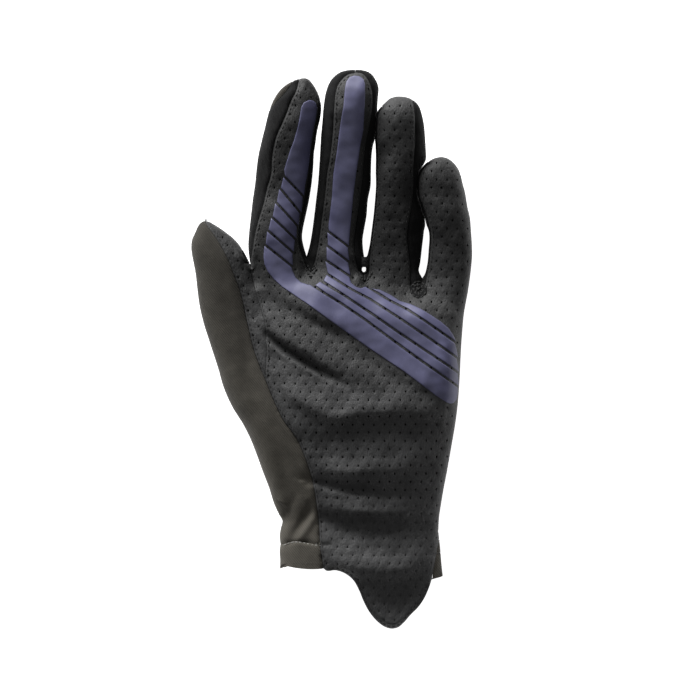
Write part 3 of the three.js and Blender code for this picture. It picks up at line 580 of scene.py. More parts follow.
# Seam lines in plan
side_seam = curve(
    [(204, 217), (205.4, 222), (208, 226.5), (213, 233), (223, 249), (229, 261), (234, 274), (240, 290),
     (247, 320), (255, 352), (266, 380), (284, 420), (298, 440), (306, 459), (312, 478), (316, 500),
     (318.6, 520), (320.2, 546), (323.4, 567.6), (324, 574)]
)
under_seam = side_seam - (1.8, 0)
crotch = (250.2, 264.5)
thumb_seam = curve(
    [(250, 258), crotch, (252, 276), (256, 291.7), (261, 308), (265.1, 323.7), (266.6, 338), (267, 350.7),
     (266.2, 366), (265.6, 379)]
)
index_seam = curve(
    [(300, 76), (298.9, 81.8), (295.8, 93.6), (291, 103), (287.1, 114), (282.4, 125), (277, 137),
     (273.8, 148.6), (272.2, 160), (271, 176), (267.4, 188), (264, 203), (259.5, 218),
     (255.8, 231), (253, 247), (250.9, 258), (250, 263), (245, 263)]
)
tip_seam = curve([(293, 80), (290.3, 86.5), (284, 95.1), (278.6, 100.4), (275.3, 103.8), (270, 109.5)])
web_one = join(
    curve([(323, 99), (320.4, 101.5), (319.2, 106), (318.3, 112), (315.4, 128), (311.8, 148), (309.4, 168),
           (307.6, 184), (304.6, 200), (301.6, 216), (299.4, 230), (299, 240), (300.6, 250),
           (303.8, 260), (307.4, 268), (311.2, 273)]),
    curve([(311.2, 273), (314.6, 262), (317.5, 248), (320, 232), (322.4, 214), (325.2, 192), (326.8, 176),
           (330.2, 156), (332.8, 133), (334, 110), (335, 97.5), (337.6, 87), (342.4, 80.4),
           (348.4, 75.6), (355.6, 73.2), (355.6, 68)]),
)
web_two = join(
    curve([(355.6, 68), (355.6, 73.2), (361.4, 74.2), (366.6, 79), (369.8, 84.6), (372, 92), (372.7, 104.3),
           (371.2, 116), (369, 128), (366.6, 140), (364.8, 152), (363.6, 166), (362.6, 180),
           (360.4, 198), (357.6, 217), (355.4, 232), (354, 243), (354.8, 252), (356.6, 264),
           (360.4, 275), (364.8, 282.3)]),
    curve([(364.8, 282.3), (368.2, 274.5), (369, 264), (370, 254), (373.2, 230), (375.4, 213), (376.5, 200),
           (377.4, 187), (377.3, 171), (377.4, 155), (377.1, 143), (377.6, 128), (378.2, 119), (379.6, 113),
           (382, 108.6), (380, 104)]),
)
web_three = join(
    curve([(413, 97), (412.4, 101.6), (413.6, 107), (414.7, 116), (415.2, 131.8), (415, 145), (414, 158),
           (413.2, 172), (413, 187), (412, 203), (410, 216), (408, 226), (407, 236), (407.8, 246),
           (409.4, 257), (410.6, 269), (410.4, 282), (412.6, 289), (417, 292.6)]),
    curve([(417, 292.6), (422, 290), (425, 284), (426.4, 277), (428.6, 266), (430.2, 250), (430.7, 234),
           (429.4, 226), (427.7, 218.5), (425.4, 211), (422.8, 204), (420.4, 198), (419.5, 190),
           (419.9, 179), (422.2, 172), (426, 167), (430.2, 163.4), (427, 160)]),
)
hem_seam = curve([(272, 543.4), (282, 544), (293, 540.6), (305, 541.2), (319.8, 543.4), (330, 543.6)])
corner_seam = curve([(437.4, 530), (439.4, 534), (437.6, 548), (435, 562), (432.4, 575), (431.8, 579.6),
                     (431, 582)])
corner_hem = plan([(430, 553), (446, 554)])
back_hem = curve([(270, 544.4), (300, 546), (340, 548), (390, 551), (450, 554)])

air_thumb = plan([(248.6, 254), (246.4, 244), (238, 235), (222, 222), (210, 216), (204, 217)])
zones = {
    "olive": np.concatenate([side_seam, plan([(240, 640), (150, 560), (150, 200), (200, 205)])]),
    "thumb": np.concatenate(
        [side_seam[side_seam[:, 1] > -12.2], thumb_seam[::-1], air_thumb]
    ),
    "olive_back": np.concatenate([under_seam, plan([(240, 640), (150, 560), (150, 200), (200, 205)])]),
    "tip": np.concatenate([tip_seam, plan([(262, 108), (262, 80), (290, 74)])]),
    "gusset": np.concatenate([index_seam, plan([(240, 240), (244, 180), (256, 110), (280, 78), (298, 72)])]),
    "web_one": np.concatenate([web_one, plan([(334, 66), (323, 78)])]),
    "web_two": np.concatenate([web_two, plan([(381, 80), (372, 66)])]),
    "web_three": np.concatenate([web_three, plan([(432, 150), (432, 110), (418, 94)])]),
    "corner": np.concatenate([corner_seam, plan([(450, 590), (450, 528)])]),
    "hem": np.concatenate([hem_seam, plan([(330, 600), (268, 600)])]),
    "corner_hem": np.concatenate([corner_hem, plan([(450, 600), (430, 600)])]),
    "back_hem": np.concatenate([back_hem, plan([(460, 620), (260, 620)])]),
}
front_seams = [side_seam, thumb_seam, index_seam, tip_seam, web_one, web_two, web_three, hem_seam,
               corner_seam, corner_hem]
back_seams = [under_seam, back_hem]

# The grip, zone by zone
GROOVE = 1.15  # half a groove's width, in view units


def beside(points, offset):
    """A line moved sideways in plan, in view units; a positive offset moves it up the view."""
    p = np.array(points, float)
    d = np.gradient(p, axis=0)
    d /= np.linalg.norm(d, axis=1)[:, None]
    return [tuple(v) for v in p + offset * np.column_stack([d[:, 1], -d[:, 0]])]


groove_a = [(311, 284.3), (325.8, 294.4), (340, 303), (365, 320), (392, 340), (421, 361), (458, 386.5)]
groove_b = [(320.6, 281.2), (343, 295), (373, 315), (398, 332.5), (424, 350), (458, 372.6)]
groove_c = [(327.4, 274.4), (350, 288.8), (371, 300), (400, 319), (425, 336), (457, 358)]
groove_d = [(366, 286), (378, 293.6), (390, 301), (407, 309.6), (428, 323.6), (455, 342.5)]
bar_lines = [
    [(284.6, 177.4), (303.8, 197)], [(280.5, 189.2), (300.8, 213.6)], [(276.5, 203.3), (297.8, 226.4)],
    [(272.5, 218), (295.8, 239.6)], [(268.3, 231.2), (293.4, 253)], [(265.6, 245.6), (292.4, 266.8)],
]
middle_lines = [
    [(328.3, 231.8), (348.4, 247)], [(327.3, 246.2), (348.8, 262)], [(326.2, 260.8), (350, 276.6)],
]


def strip(upper, lower):
    """The grip between two groove lines."""
    return beside(upper, -GROOVE) + beside(lower, GROOVE)[::-1]


grips = {
    "index_grip_pad": [(309.4, 101.6), (313.4, 102.2), (316.2, 104.6), (317.5, 109.3), (316, 120),
                       (313.2, 132.8), (310.8, 148.6), (309.2, 164.3), (307.4, 176), (305.4, 186),
                       (304.3, 195)]
    + beside(bar_lines[0], GROOVE)[::-1]
    + [(285, 173.6), (284.6, 170.6), (287.1, 162.7), (290.3, 152.5), (294.2, 142.3), (298.1, 129),
       (300.5, 117), (301.6, 109), (304.2, 104.2)],
    "middle_grip_pad": [(354.4, 77.4), (360, 78.4), (363.6, 81.4), (365, 86), (365, 100.4), (364.3, 112),
                        (363.3, 131.8), (360.4, 146), (358.6, 159.3), (356.2, 174), (353.4, 195.7),
                        (351.4, 217), (349.6, 236.9), (349, 244)]
    + beside(middle_lines[0], GROOVE)[::-1]
    + [(328.6, 226), (330, 215), (332.2, 196.4), (333.5, 175), (337.2, 152), (339.2, 135.7), (341.5, 120),
       (343.6, 108.2), (345, 90), (346.4, 83.4), (349.6, 79)],
    "palm_grip_band": beside(bar_lines[5], -GROOVE)
    + [(293, 271.6), (296, 278), (301, 282.6), (308, 285)]
    + beside(groove_a, -GROOVE)
    + [(457.4, 393), (456, 399.4), (453, 402.8), (449.4, 403.4), (446, 402), (435, 395), (404, 371.6),
       (371, 349.6), (334, 323.4), (306, 303), (293.4, 294.6), (282.9, 287.4), (274.3, 279.8),
       (268.3, 272.2), (265, 265), (264, 258), (264.4, 250)],
    "palm_grip_stripe_1": strip(groove_b, groove_a)[:-1] + [(315.6, 285.6)],
    "palm_grip_stripe_2": strip(groove_c, groove_b)[:-1] + [(323.6, 281)],
    "palm_grip_stripe_3": beside(middle_lines[2], -GROOVE)
    + [(351, 283), (356, 287.2), (361, 288.6)]
    + beside(groove_d, -GROOVE)
    + [(456, 349)]
    + beside(groove_c, GROOVE)[::-1],
    "palm_grip_stripe_4": beside(groove_d, GROOVE)[1:][::-1]
    + [(371, 288.6), (380, 290), (390, 295), (400, 301.4), (410, 304.2), (420, 309), (430, 315),
       (440, 321.6), (448, 328.4), (452.6, 335)],
}
for i in range(5):
    grips["index_grip_bar_%d" % (i + 1)] = strip(bar_lines[i], bar_lines[i + 1])
for i in range(2):
    grips["middle_grip_bar_%d" % (i + 1)] = strip(middle_lines[i], middle_lines[i + 1])


def spaced(polygon, step=STEP):
    """A closed polygon with extra points on its long sides."""
    out = []
    for a, b in zip(polygon, np.roll(polygon, -1, axis=0)):
        count = max(1, int(round(np.linalg.norm(b - a) / step)))
        out += [a + (b - a) * i / count for i in range(count)]
    return np.array(out)


grip_edges = {name: spaced(plan(points)) for name, points in grips.items()}
grooves = [curve(g) for g in (groove_a, groove_b, groove_c, groove_d)]
grooves += [plan(g) for g in bar_lines + middle_lines]


class Points:
    """Finds how near plan points are to a set of points."""

    def __init__(self, points):
        self.tree = KDTree(len(points))
        for i, p in enumerate(points):
            self.tree.insert((p[0], p[1], 0), i)
        self.tree.balance()

    def far(self, points):
        return np.array([self.tree.find((p[0], p[1], 0))[2] for p in points])

    def rows(self, points):
        """The row of the nearest one, for each point."""
        return np.array([self.tree.find((p[0], p[1], 0))[1] for p in points], int)


def dense(line, step=0.2):
    """The line with points about a step apart."""
    parts = []
    for a, b in zip(line[:-1], line[1:]):
        count = max(1, int(np.linalg.norm(b - a) / step))
        parts.append(a + (b - a) * (np.arange(count) / count)[:, None])
    return np.concatenate(parts + [line[-1:]])


def triangulate(closed, open_lines, loops, points):
    """Constrained triangles of the plan: vertices and faces, with every line kept as edges."""
    verts, edges = [], []

    def add(line, close):
        first = len(verts)
        verts.extend(Vector((float(p[0]), float(p[1]))) for p in line)
        edges.extend((first + i, first + i + 1) for i in range(len(line) - 1))
        if close:
            edges.append((first + len(line) - 1, first))

    for line in closed:
        add(line, True)
    for line in open_lines:
        add(line, False)
    for line in loops:
        add(line, True)
    verts.extend(Vector((float(p[0]), float(p[1]))) for p in points)
    out, _, faces, _, _, _ = delaunay_2d_cdt(verts, edges, [], 0, 1e-4)
    return np.array([(v.x, v.y) for v in out]), np.array([f for f in faces if len(f) == 3])


def grid(low, high, spacing):
    """Staggered rows of points that fill a box."""
    rows = []
    y = low[1]
    odd = False
    while y < high[1]:
        x = np.arange(low[0] + (spacing / 2 if odd else 0), high[0], spacing)
        rows.append(np.column_stack([x, np.full(len(x), y)]))
        y += spacing * 0.866
        odd = not odd
    return np.concatenate(rows)


def inset_rows(loop, offsets, clear):
    """Points inside a closed loop at the given distances from it."""
    ahead = np.roll(loop, -1, axis=0) - np.roll(loop, 1, axis=0)
    ahead /= np.maximum(np.linalg.norm(ahead, axis=1), 1e-9)[:, None]
    area = 0.5 * np.sum(loop[:, 0] * np.roll(loop[:, 1], -1) - np.roll(loop[:, 0], -1) * loop[:, 1])
    inward = np.column_stack([-ahead[:, 1], ahead[:, 0]]) * (1 if area > 0 else -1)
    rows = []
    for d in offsets:
        row = loop + inward * d
        rows.append(row[clear.far(row) > d * 0.93])
    return rows


# Where the seams meet the silhouette, so that front and back share every point of it
crossed, _ = triangulate([silhouette], front_seams + back_seams, [], [])
far, at = nearest(crossed, closed_line(silhouette))
on_edge = np.flatnonzero(far < 2e-3)
order = on_edge[np.argsort(at[on_edge])]
edge_points = crossed[order]
keep = np.linalg.norm(edge_points - np.roll(edge_points, 1, axis=0), axis=1) > 0.02
edge_points = edge_points[keep]
edge_near = Points(dense(closed_line(edge_points), 0.1))
side_rows = inset_rows(edge_points, (0.08, 0.25, 0.55, 1.0), edge_near)

# Perforations of the leather
HOLE_X = 4.37
HOLE_Y = 3.411
HOLE_START = (0.25, -85.64)
HOLE_WIDE = 0.34
HOLE_LONG = 0.54
HOLE_ROWS = range(-12, 64)
HOLE_COLUMNS = np.arange(-14, 15)
HOLE_CLEAR = 1.15  # from seams and the outline
HOLE_APART = 1.6
HOLE_JITTER = 0.09
GROOVE_REACH = 0.95  # holes this near to a groove lie in it
BLIND_Y = -62.0  # below this line the floor would show through, so the holes are blind
BLIND_DEPTH = 0.5
BLIND_SHARE = 0.8  # width of a blind hole's floor, as a share of its rim
DIMPLE_DEPTH = 0.24
DIMPLE_SIZE = (0.8, 1.2)


def hole_centres():
    rows = []
    for j in HOLE_ROWS:
        x = HOLE_COLUMNS * HOLE_X + (HOLE_X / 2 if j % 2 else 0)
        rows.append(np.column_stack([x + HOLE_START[0], np.full(len(x), j * HOLE_Y + HOLE_START[1])]))
    p = np.concatenate(rows)
    p = p[inside(p, silhouette)]
    on_groove = np.zeros(len(p), bool)
    for line in grooves:
        far, at = nearest(p, line)
        row = np.clip(at.astype(int), 0, len(line) - 2)
        spot = line[row] + (line[row + 1] - line[row]) * (at - row)[:, None]
        snap = (far < GROOVE_REACH) & ~on_groove & (at > 0.3) & (at < len(line) - 1.3)
        p[snap] = spot[snap]
        on_groove |= snap
    cloth = ("olive", "gusset", "tip", "web_one", "web_two", "web_three", "corner")
    clear = ~np.any([inside(p, zones[n]) for n in cloth], axis=0)
    p = p[clear]
    on_groove = on_groove[clear]
    rng = np.random.default_rng(3)
    p = p + rng.normal(0, HOLE_JITTER, p.shape) * ~on_groove[:, None]
    lines = Points(np.concatenate([dense(l) for l in front_seams] + [dense(edge_points)]))
    clear = lines.far(p) > HOLE_CLEAR
    p = p[clear]
    on_groove = on_groove[clear]
    grip_line = Points(np.concatenate([dense(closed_line(g)) for g in grip_edges.values()]))
    covered = np.any([inside(p, g) for g in grip_edges.values()], axis=0)
    p = p[on_groove | (~covered & (grip_line.far(p) > 0.36))]
    apart = np.linalg.norm(p[:, None] - p[None], axis=2)
    return p[~np.any(np.tril(apart < HOLE_APART, -1), axis=1)]


holes = hole_centres()
angles = np.arange(8) * math.pi / 4 + math.pi / 8
hole_loops = [c + np.column_stack([HOLE_WIDE * np.cos(angles), HOLE_LONG * np.sin(angles)]) for c in holes]
hole_near = Points(holes)
blind = holes[:, 1] < BLIND_Y
blind_loops = [c + (loop - c) * BLIND_SHARE for c, loop, low in zip(holes, hole_loops, blind) if low]
pit_near = Points(np.concatenate(blind_loops))

# The front and back triangles in plan; points keep these distances, in mm, from lines, outline and holes.
LINE_CLEAR = 0.42
EDGE_CLEAR = 1.3
GRID_HOLE_CLEAR = 0.75
ROW_SEAM_CLEAR = 0.25
ROW_HOLE_CLEAR = 0.7
low_corner = silhouette.min(0)
high_corner = silhouette.max(0)
all_grid = grid(low_corner, high_corner, GRID)
all_grid = all_grid[inside(all_grid, silhouette)]


def sheet_mesh(seams, loops, holes_here, extra):
    """Triangles of the whole outline in plan, with seams, other lines and holes' loops as edges."""
    lines = Points(np.concatenate([dense(l) for l in seams + [edge_points] + extra]))
    pts = all_grid[(lines.far(all_grid) > LINE_CLEAR) & (edge_near.far(all_grid) > EDGE_CLEAR)]
    if holes_here:
        pts = pts[hole_near.far(pts) > GRID_HOLE_CLEAR]
    rows = []
    seam_near = Points(np.concatenate([dense(l) for l in seams]))
    for row in side_rows:
        keep_row = seam_near.far(row) > ROW_SEAM_CLEAR
        if holes_here:
            keep_row &= hole_near.far(row) > ROW_HOLE_CLEAR
        rows.append(row[keep_row])
    return triangulate([edge_points], seams + extra, loops, np.concatenate([pts] + rows))


grip_lines = [closed_line(g) for g in grip_edges.values()]
front_v, front_f = sheet_mesh(front_seams, hole_loops + blind_loops, True, grip_lines)
back_v, back_f = sheet_mesh(back_seams + [back_low], [], False, [])


def centres(v, f):
    return v[f].mean(1)


front_c = centres(front_v, front_f)
back_c = centres(back_v, back_f)
front_in = inside(front_c, silhouette)
near_hole = hole_near.rows(front_c)
offset = (front_c - holes[near_hole]) / (HOLE_WIDE, HOLE_LONG)
in_hole = ((offset**2).sum(1) < 0.8) & ~blind[near_hole]
front_in &= ~in_hole
front_f = front_f[front_in]
front_c = front_c[front_in]


def mouth_y(x):
    """Where the back's lower edge lies."""
    return np.interp(x, back_low[:, 0], back_low[:, 1])


back_in = inside(back_c, silhouette) & (back_c[:, 1] > mouth_y(back_c[:, 0]))
back_f = back_f[back_in]
back_c = back_c[back_in]

PIECES = ["palm_panel", "thumb_palm_panel", "thumb_side_panel", "back_panel", "cuff_hem",
          "index_outer_gusset", "index_middle_fourchette", "middle_ring_fourchette",
          "ring_little_fourchette"]
number = {name: i for i, name in enumerate(PIECES)}


def zone(p, name):
    return inside(p, zones[name])


front_kind = np.full(len(front_c), number["palm_panel"])
for name, piece in (("thumb", "thumb_palm_panel"), ("gusset", "index_outer_gusset"), ("tip", "back_panel"),
                    ("web_one", "index_middle_fourchette"), ("web_two", "middle_ring_fourchette"),
                    ("web_three", "ring_little_fourchette"), ("corner", "back_panel"),
                    ("olive", "thumb_side_panel")):
    front_kind[zone(front_c, name)] = number[piece]
olive_front = front_kind == number["thumb_side_panel"]
front_kind[olive_front & zone(front_c, "hem")] = number["cuff_hem"]
corner_front = (front_kind == number["back_panel"]) & zone(front_c, "corner")
front_kind[corner_front & zone(front_c, "corner_hem")] = number["cuff_hem"]

back_kind = np.full(len(back_c), number["back_panel"])
back_kind[zone(back_c, "olive_back")] = number["thumb_side_panel"]
back_kind[zone(back_c, "back_hem")] = number["cuff_hem"]

# A rim of the side pieces turns under past the silhouette.
RIM = 0.6
rim_tri = (edge_near.far(back_v) < RIM)[back_f].all(1)
turned = np.flatnonzero(rim_tri & (back_kind == number["back_panel"]))
back_kind[turned] = front_kind[Points(front_c).rows(back_c[turned])]

# Heights
REST_DROP = 0.3  # how far the back is flattened where it lies
HEM_RISE = 0.35
CLOTH_BUMPS = 0.3  # share of the leather's bumps that the cloth has
FOLD_CLEAR = 2.0  # mm from the outline at which folds have their full height
BUMP_CLEAR = 3.0
MOUTH_X = (-20, 46)  # where the glove is open at the cuff
SIDE_END_Y = -90.5
front_z0 = front_form(front_v)
_, back_z = heights(back_v)
front_z = front_z0 + fold_heights(front_v) * np.clip(edge_near.far(front_v) / FOLD_CLEAR, 0, 1)
on_olive = zone(front_v, "olive")
bump_share = np.where(on_olive, CLOTH_BUMPS, 1)
front_z += bumps(front_v) * np.clip(edge_near.far(front_v) / BUMP_CLEAR, 0, 1) * bump_share
front_z -= seam_drop(front_v)
hole_far = hole_near.far(front_v)
from_hole = front_v - holes[hole_near.rows(front_v)]
front_z -= DIMPLE_DEPTH * np.exp(-((from_hole / DIMPLE_SIZE) ** 2).sum(1))
front_z[pit_near.far(front_v) < 1e-3] -= BLIND_DEPTH
front_z[on_olive & zone(front_v, "hem")] += HEM_RISE
back_z = back_z - REST_DROP * np.clip(edge_near.far(back_v) / BUMP_CLEAR, 0, 1)
back_edge = edge_near.far(back_v) < 3e-3
mouth = np.abs(back_v[:, 1] - mouth_y(back_v[:, 0])) < 5e-3
edge_z, _ = heights(back_v[back_edge])
edge_x = back_v[back_edge][:, 0]
is_mouth = mouth[back_edge] & (edge_x > MOUTH_X[0]) & (edge_x < MOUTH_X[1])
back_z[back_edge] = np.where(is_mouth, back_z[back_edge], edge_z)
front_edge = edge_near.far(front_v) < 3e-3
front_plain, _ = heights(front_v[front_edge])
on_side = front_v[front_edge][:, 1] > SIDE_END_Y
front_z[front_edge] = np.where(on_side, front_plain, front_z[front_edge])

# One set of vertices for both sheets, joined along the silhouette
key = {}
for i in np.flatnonzero(front_edge):
    key[(round(front_v[i, 0], 2), round(front_v[i, 1], 2))] = i
total = len(front_v)
back_index = np.arange(total, total + len(back_v))
for i in np.flatnonzero(back_edge):
    k = (round(back_v[i, 0], 2), round(back_v[i, 1], 2))
    if k in key and abs(front_z[key[k]] - back_z[i]) < 0.6:
        back_index[i] = key[k]
all_v = lap(np.concatenate([np.column_stack([front_v, front_z]), np.column_stack([back_v, back_z])]))
is_hole = np.zeros(len(all_v), bool)
is_hole[:total] = hole_far < HOLE_LONG + 0.02


def upward(f, v):
    """Triangles turned so that they run anticlockwise in plan."""
    a, b, c = v[f[:, 0]], v[f[:, 1]], v[f[:, 2]]
    area = (b[:, 0] - a[:, 0]) * (c[:, 1] - a[:, 1]) - (c[:, 0] - a[:, 0]) * (b[:, 1] - a[:, 1])
    flip = area < 0
    g = f.copy()
    g[flip] = g[flip][:, ::-1]
    return g


front_faces = upward(front_f, front_v)
back_faces = back_index[upward(back_f, back_v)][:, ::-1]


def vertex_normals(v, f):
    n = np.cross(v[f[:, 1]] - v[f[:, 0]], v[f[:, 2]] - v[f[:, 0]])
    total_n = np.zeros_like(v)
    for k in range(3):
        np.add.at(total_n, f[:, k], n)
    return total_n / np.maximum(np.linalg.norm(total_n, axis=1), 1e-12)[:, None]


def boundary_edges(f):
    e = np.concatenate([f[:, [0, 1]], f[:, [1, 2]], f[:, [2, 0]]])
    s = np.sort(e, axis=1)
    _, where, uses = np.unique(s, axis=0, return_index=True, return_counts=True)
    return e[where[uses == 1]]


def make_object(name, v, f, material, sharp=55):
    """A smooth mesh of one material; edges turned by more than sharp degrees stay sharp."""
    mesh = bpy.data.meshes.new(name)
    mesh.from_pydata((v * MM).tolist(), [], f.tolist())
    mesh.update()
    mesh.polygons.foreach_set("use_smooth", np.ones(len(f), bool))
    mesh.set_sharp_from_angle(angle=math.radians(sharp))
    mesh.materials.append(material)
    obj = bpy.data.objects.new(name, mesh)
    bpy.context.scene.collection.objects.link(obj)
    return obj


def wall_faces(rim, count):
    """Two triangles between each edge of a rim and the same edge of the inner side, count rows on."""
    return np.concatenate(
        [
            np.column_stack([rim[:, 1], rim[:, 0], rim[:, 0] + count]),
            np.column_stack([rim[:, 1], rim[:, 0] + count, rim[:, 1] + count]),
        ]
    )


def shell(v, f, thick, inset, turn, hole=None):
    """A sheet with a thickness: its seam edges are drawn in and turned down, and its rims closed."""
    used = np.unique(f)
    index = np.full(len(v), -1)
    index[used] = np.arange(len(used))
    v = v[used].copy()
    f = index[f]
    hole = np.zeros(len(v), bool) if hole is None else hole[used]
    rim = boundary_edges(f)
    n = vertex_normals(v, f)
    push = np.zeros_like(v)
    along = v[rim[:, 1]] - v[rim[:, 0]]
    side = np.cross(n[rim[:, 0]] + n[rim[:, 1]], along)
    side /= np.maximum(np.linalg.norm(side, axis=1), 1e-12)[:, None]
    for k in range(2):
        np.add.at(push, rim[:, k], side)
    size = np.linalg.norm(push, axis=1)
    moved = (size > 1e-6) & ~hole
    push[moved] /= size[moved][:, None]
    v[moved] += push[moved] * inset - n[moved] * turn
    n = vertex_normals(v, f)
    inner = v - n * thick
    count = len(v)
    return np.concatenate([v, inner]), np.concatenate([f, f[:, ::-1] + count, wall_faces(rim, count)])


# Materials


def new_material(name, base, rough):
    m = bpy.data.materials.new(name)
    m.use_nodes = True
    nodes = m.node_tree.nodes
    shader = nodes["Principled BSDF"]
    shader.inputs["Base Color"].default_value = (*base, 1)
    shader.inputs["Roughness"].default_value = rough
    return m, nodes, m.node_tree.links, shader


def place(nodes, links, scale=(1, 1, 1), turn=0.0):
    where = nodes.new("ShaderNodeTexCoord")
    change = nodes.new("ShaderNodeMapping")
    change.inputs["Scale"].default_value = scale
    change.inputs["Rotation"].default_value = (0, 0, turn)
    links.new(where.outputs["Object"], change.inputs["Vector"])
    return change.outputs["Vector"]


def noise(nodes, links, vector, scale, detail=3.0, rough=0.6):
    n = nodes.new("ShaderNodeTexNoise")
    n.inputs["Scale"].default_value = scale
    n.inputs["Detail"].default_value = detail
    n.inputs["Roughness"].default_value = rough
    links.new(vector, n.inputs["Vector"])
    return n.outputs["Fac"]


def ramp(nodes, links, value, stops):
    r = nodes.new("ShaderNodeValToRGB")
    while len(r.color_ramp.elements) < len(stops):
        r.color_ramp.elements.new(0.5)
    for e, (at, colour) in zip(r.color_ramp.elements, stops):
        e.position = at
        e.color = (*colour, 1)
    links.new(value, r.inputs["Fac"])
    return r.outputs["Color"]


def bump(nodes, links, value, strength, distance, before=None):
    b = nodes.new("ShaderNodeBump")
    b.inputs["Strength"].default_value = strength
    b.inputs["Distance"].default_value = distance
    links.new(value, b.inputs["Height"])
    if before is not None:
        links.new(before, b.inputs["Normal"])
    return b.outputs["Normal"]


def scaled(colour, k):
    return tuple(c * k for c in colour)


# Painted shade along the glove, from the hem to the fingertips: the colour is darkened over the fingers and
# lighter again at their tips, as light falls there; metres from the origin, and a factor.
LEATHER_PAINTED_SHADE = [
    (-0.1, 1.0), (-0.05, 0.98), (-0.01, 0.78), (0.012, 0.64), (0.034, 0.34), (0.05, 0.29), (0.084, 0.3),
    (0.1, 0.46), (0.116, 0.5),
]
# Painted shade along the glove for the cloth: full colour at the hem, darker towards the fingers.
CLOTH_PAINTED_SHADE = [(-0.1, 1.0), (-0.06, 1.0), (0.0, 0.64), (0.05, 0.48), (0.116, 0.56)]


def along_painted_shade(nodes, links, tone, stops):
    """A colour multiplied by factors that change along the glove, as painted shade and light."""
    where = nodes.new("ShaderNodeTexCoord")
    apart = nodes.new("ShaderNodeSeparateXYZ")
    links.new(where.outputs["Object"], apart.inputs["Vector"])
    rise = nodes.new("ShaderNodeMapRange")
    low, high = stops[0][0], stops[-1][0]
    rise.inputs["From Min"].default_value = low
    rise.inputs["From Max"].default_value = high
    links.new(apart.outputs["Y"], rise.inputs["Value"])
    greys = [((at - low) / (high - low), (k, k, k)) for at, k in stops]
    factor = ramp(nodes, links, rise.outputs["Result"], greys)
    shade = nodes.new("ShaderNodeMix")
    shade.data_type = "RGBA"
    shade.blend_type = "MULTIPLY"
    shade.inputs["Factor"].default_value = 1
    links.new(tone, shade.inputs["A"])
    links.new(factor, shade.inputs["B"])
    return shade.outputs["Result"]


def leather_material():
    base = (0.0335, 0.0335, 0.034)
    m, nodes, links, shader = new_material("palm_leather", base, 0.62)
    v = place(nodes, links, scale=(1, 0.55, 1))
    patch = noise(nodes, links, v, 120, 4)
    tone = ramp(nodes, links, patch, [(0.3, scaled(base, 0.72)), (0.7, scaled(base, 1.35))])
    # Painted shade along the glove darkens the leather over the fingers.
    links.new(along_painted_shade(nodes, links, tone, LEATHER_PAINTED_SHADE), shader.inputs["Base Color"])
    fine = noise(nodes, links, v, 2600, 4, 0.7)
    grain = noise(nodes, links, v, 1350, 3, 0.6)
    first = bump(nodes, links, grain, 0.9, 0.00036)
    links.new(bump(nodes, links, fine, 0.7, 0.00018, first), shader.inputs["Normal"])
    spread = ramp(nodes, links, fine, [(0.3, (0.52,) * 3), (0.7, (0.78,) * 3)])
    links.new(spread, shader.inputs["Roughness"])
    shader.inputs["Specular IOR Level"].default_value = 0.4
    shader.inputs["Sheen Weight"].default_value = 0.06
    return m


WAVE = 0.314  # distance between the bands of a wave texture of scale 1


def cloth_material(name, base, pitch, turn, strength, sheen):
    m, nodes, links, shader = new_material(name, base, 0.85)
    v = place(nodes, links, turn=turn)
    rib = nodes.new("ShaderNodeTexWave")
    rib.inputs["Scale"].default_value = WAVE / pitch
    rib.inputs["Distortion"].default_value = 0.6
    rib.inputs["Detail"].default_value = 1.0
    rib.inputs["Detail Scale"].default_value = 2.0
    links.new(v, rib.inputs["Vector"])
    cross = nodes.new("ShaderNodeTexWave")
    cross.bands_direction = "Y"
    cross.inputs["Scale"].default_value = WAVE / (pitch * 0.72)
    cross.inputs["Distortion"].default_value = 0.8
    links.new(v, cross.inputs["Vector"])
    patch = noise(nodes, links, v, 180, 4)
    tone = ramp(nodes, links, patch, [(0.3, scaled(base, 0.82)), (0.7, scaled(base, 1.2))])
    shade = nodes.new("ShaderNodeMix")
    shade.data_type = "RGBA"
    shade.blend_type = "MULTIPLY"
    shade.inputs["Factor"].default_value = 0.3
    links.new(tone, shade.inputs["A"])
    links.new(rib.outputs["Color"], shade.inputs["B"])
    # Painted shade along the glove darkens the cloth towards the fingers.
    links.new(along_painted_shade(nodes, links, shade.outputs["Result"], CLOTH_PAINTED_SHADE), shader.inputs["Base Color"])
    first = bump(nodes, links, rib.outputs["Fac"], strength, 0.00018)
    second = bump(nodes, links, cross.outputs["Fac"], strength * 0.3, 0.00012, first)
    fuzz = noise(nodes, links, v, 3000, 2)
    links.new(bump(nodes, links, fuzz, 0.35, 0.0001, second), shader.inputs["Normal"])
    shader.inputs["Sheen Weight"].default_value = sheen
    shader.inputs["Sheen Roughness"].default_value = 0.5
    shader.inputs["Specular IOR Level"].default_value = 0.15
    return m


def grip_material():
    base = (0.074, 0.074, 0.142)
    m, nodes, links, shader = new_material("grip_print", base, 0.58)
    v = place(nodes, links)
    patch = noise(nodes, links, v, 150, 4)
    tone = ramp(nodes, links, patch, [(0.3, scaled(base, 0.84)), (0.7, scaled(base, 1.16))])
    links.new(tone, shader.inputs["Base Color"])
    fine = noise(nodes, links, v, 2200, 3)
    links.new(bump(nodes, links, fine, 0.18, 0.00008), shader.inputs["Normal"])
    shader.inputs["Specular IOR Level"].default_value = 0.5
    return m


leather = leather_material()
olive = cloth_material("back_cloth", (0.08, 0.0735, 0.0615), 0.00078, math.radians(-40), 0.6, 0.05)
knit = cloth_material("side_knit", (0.013, 0.013, 0.0134), 0.00055, math.radians(4), 0.6, 0.01)
grip = grip_material()

SEAM_INSET = 0.05  # how far the edges of sheets are drawn in, mm
SEAM_TURN = 0.15  # and turned down
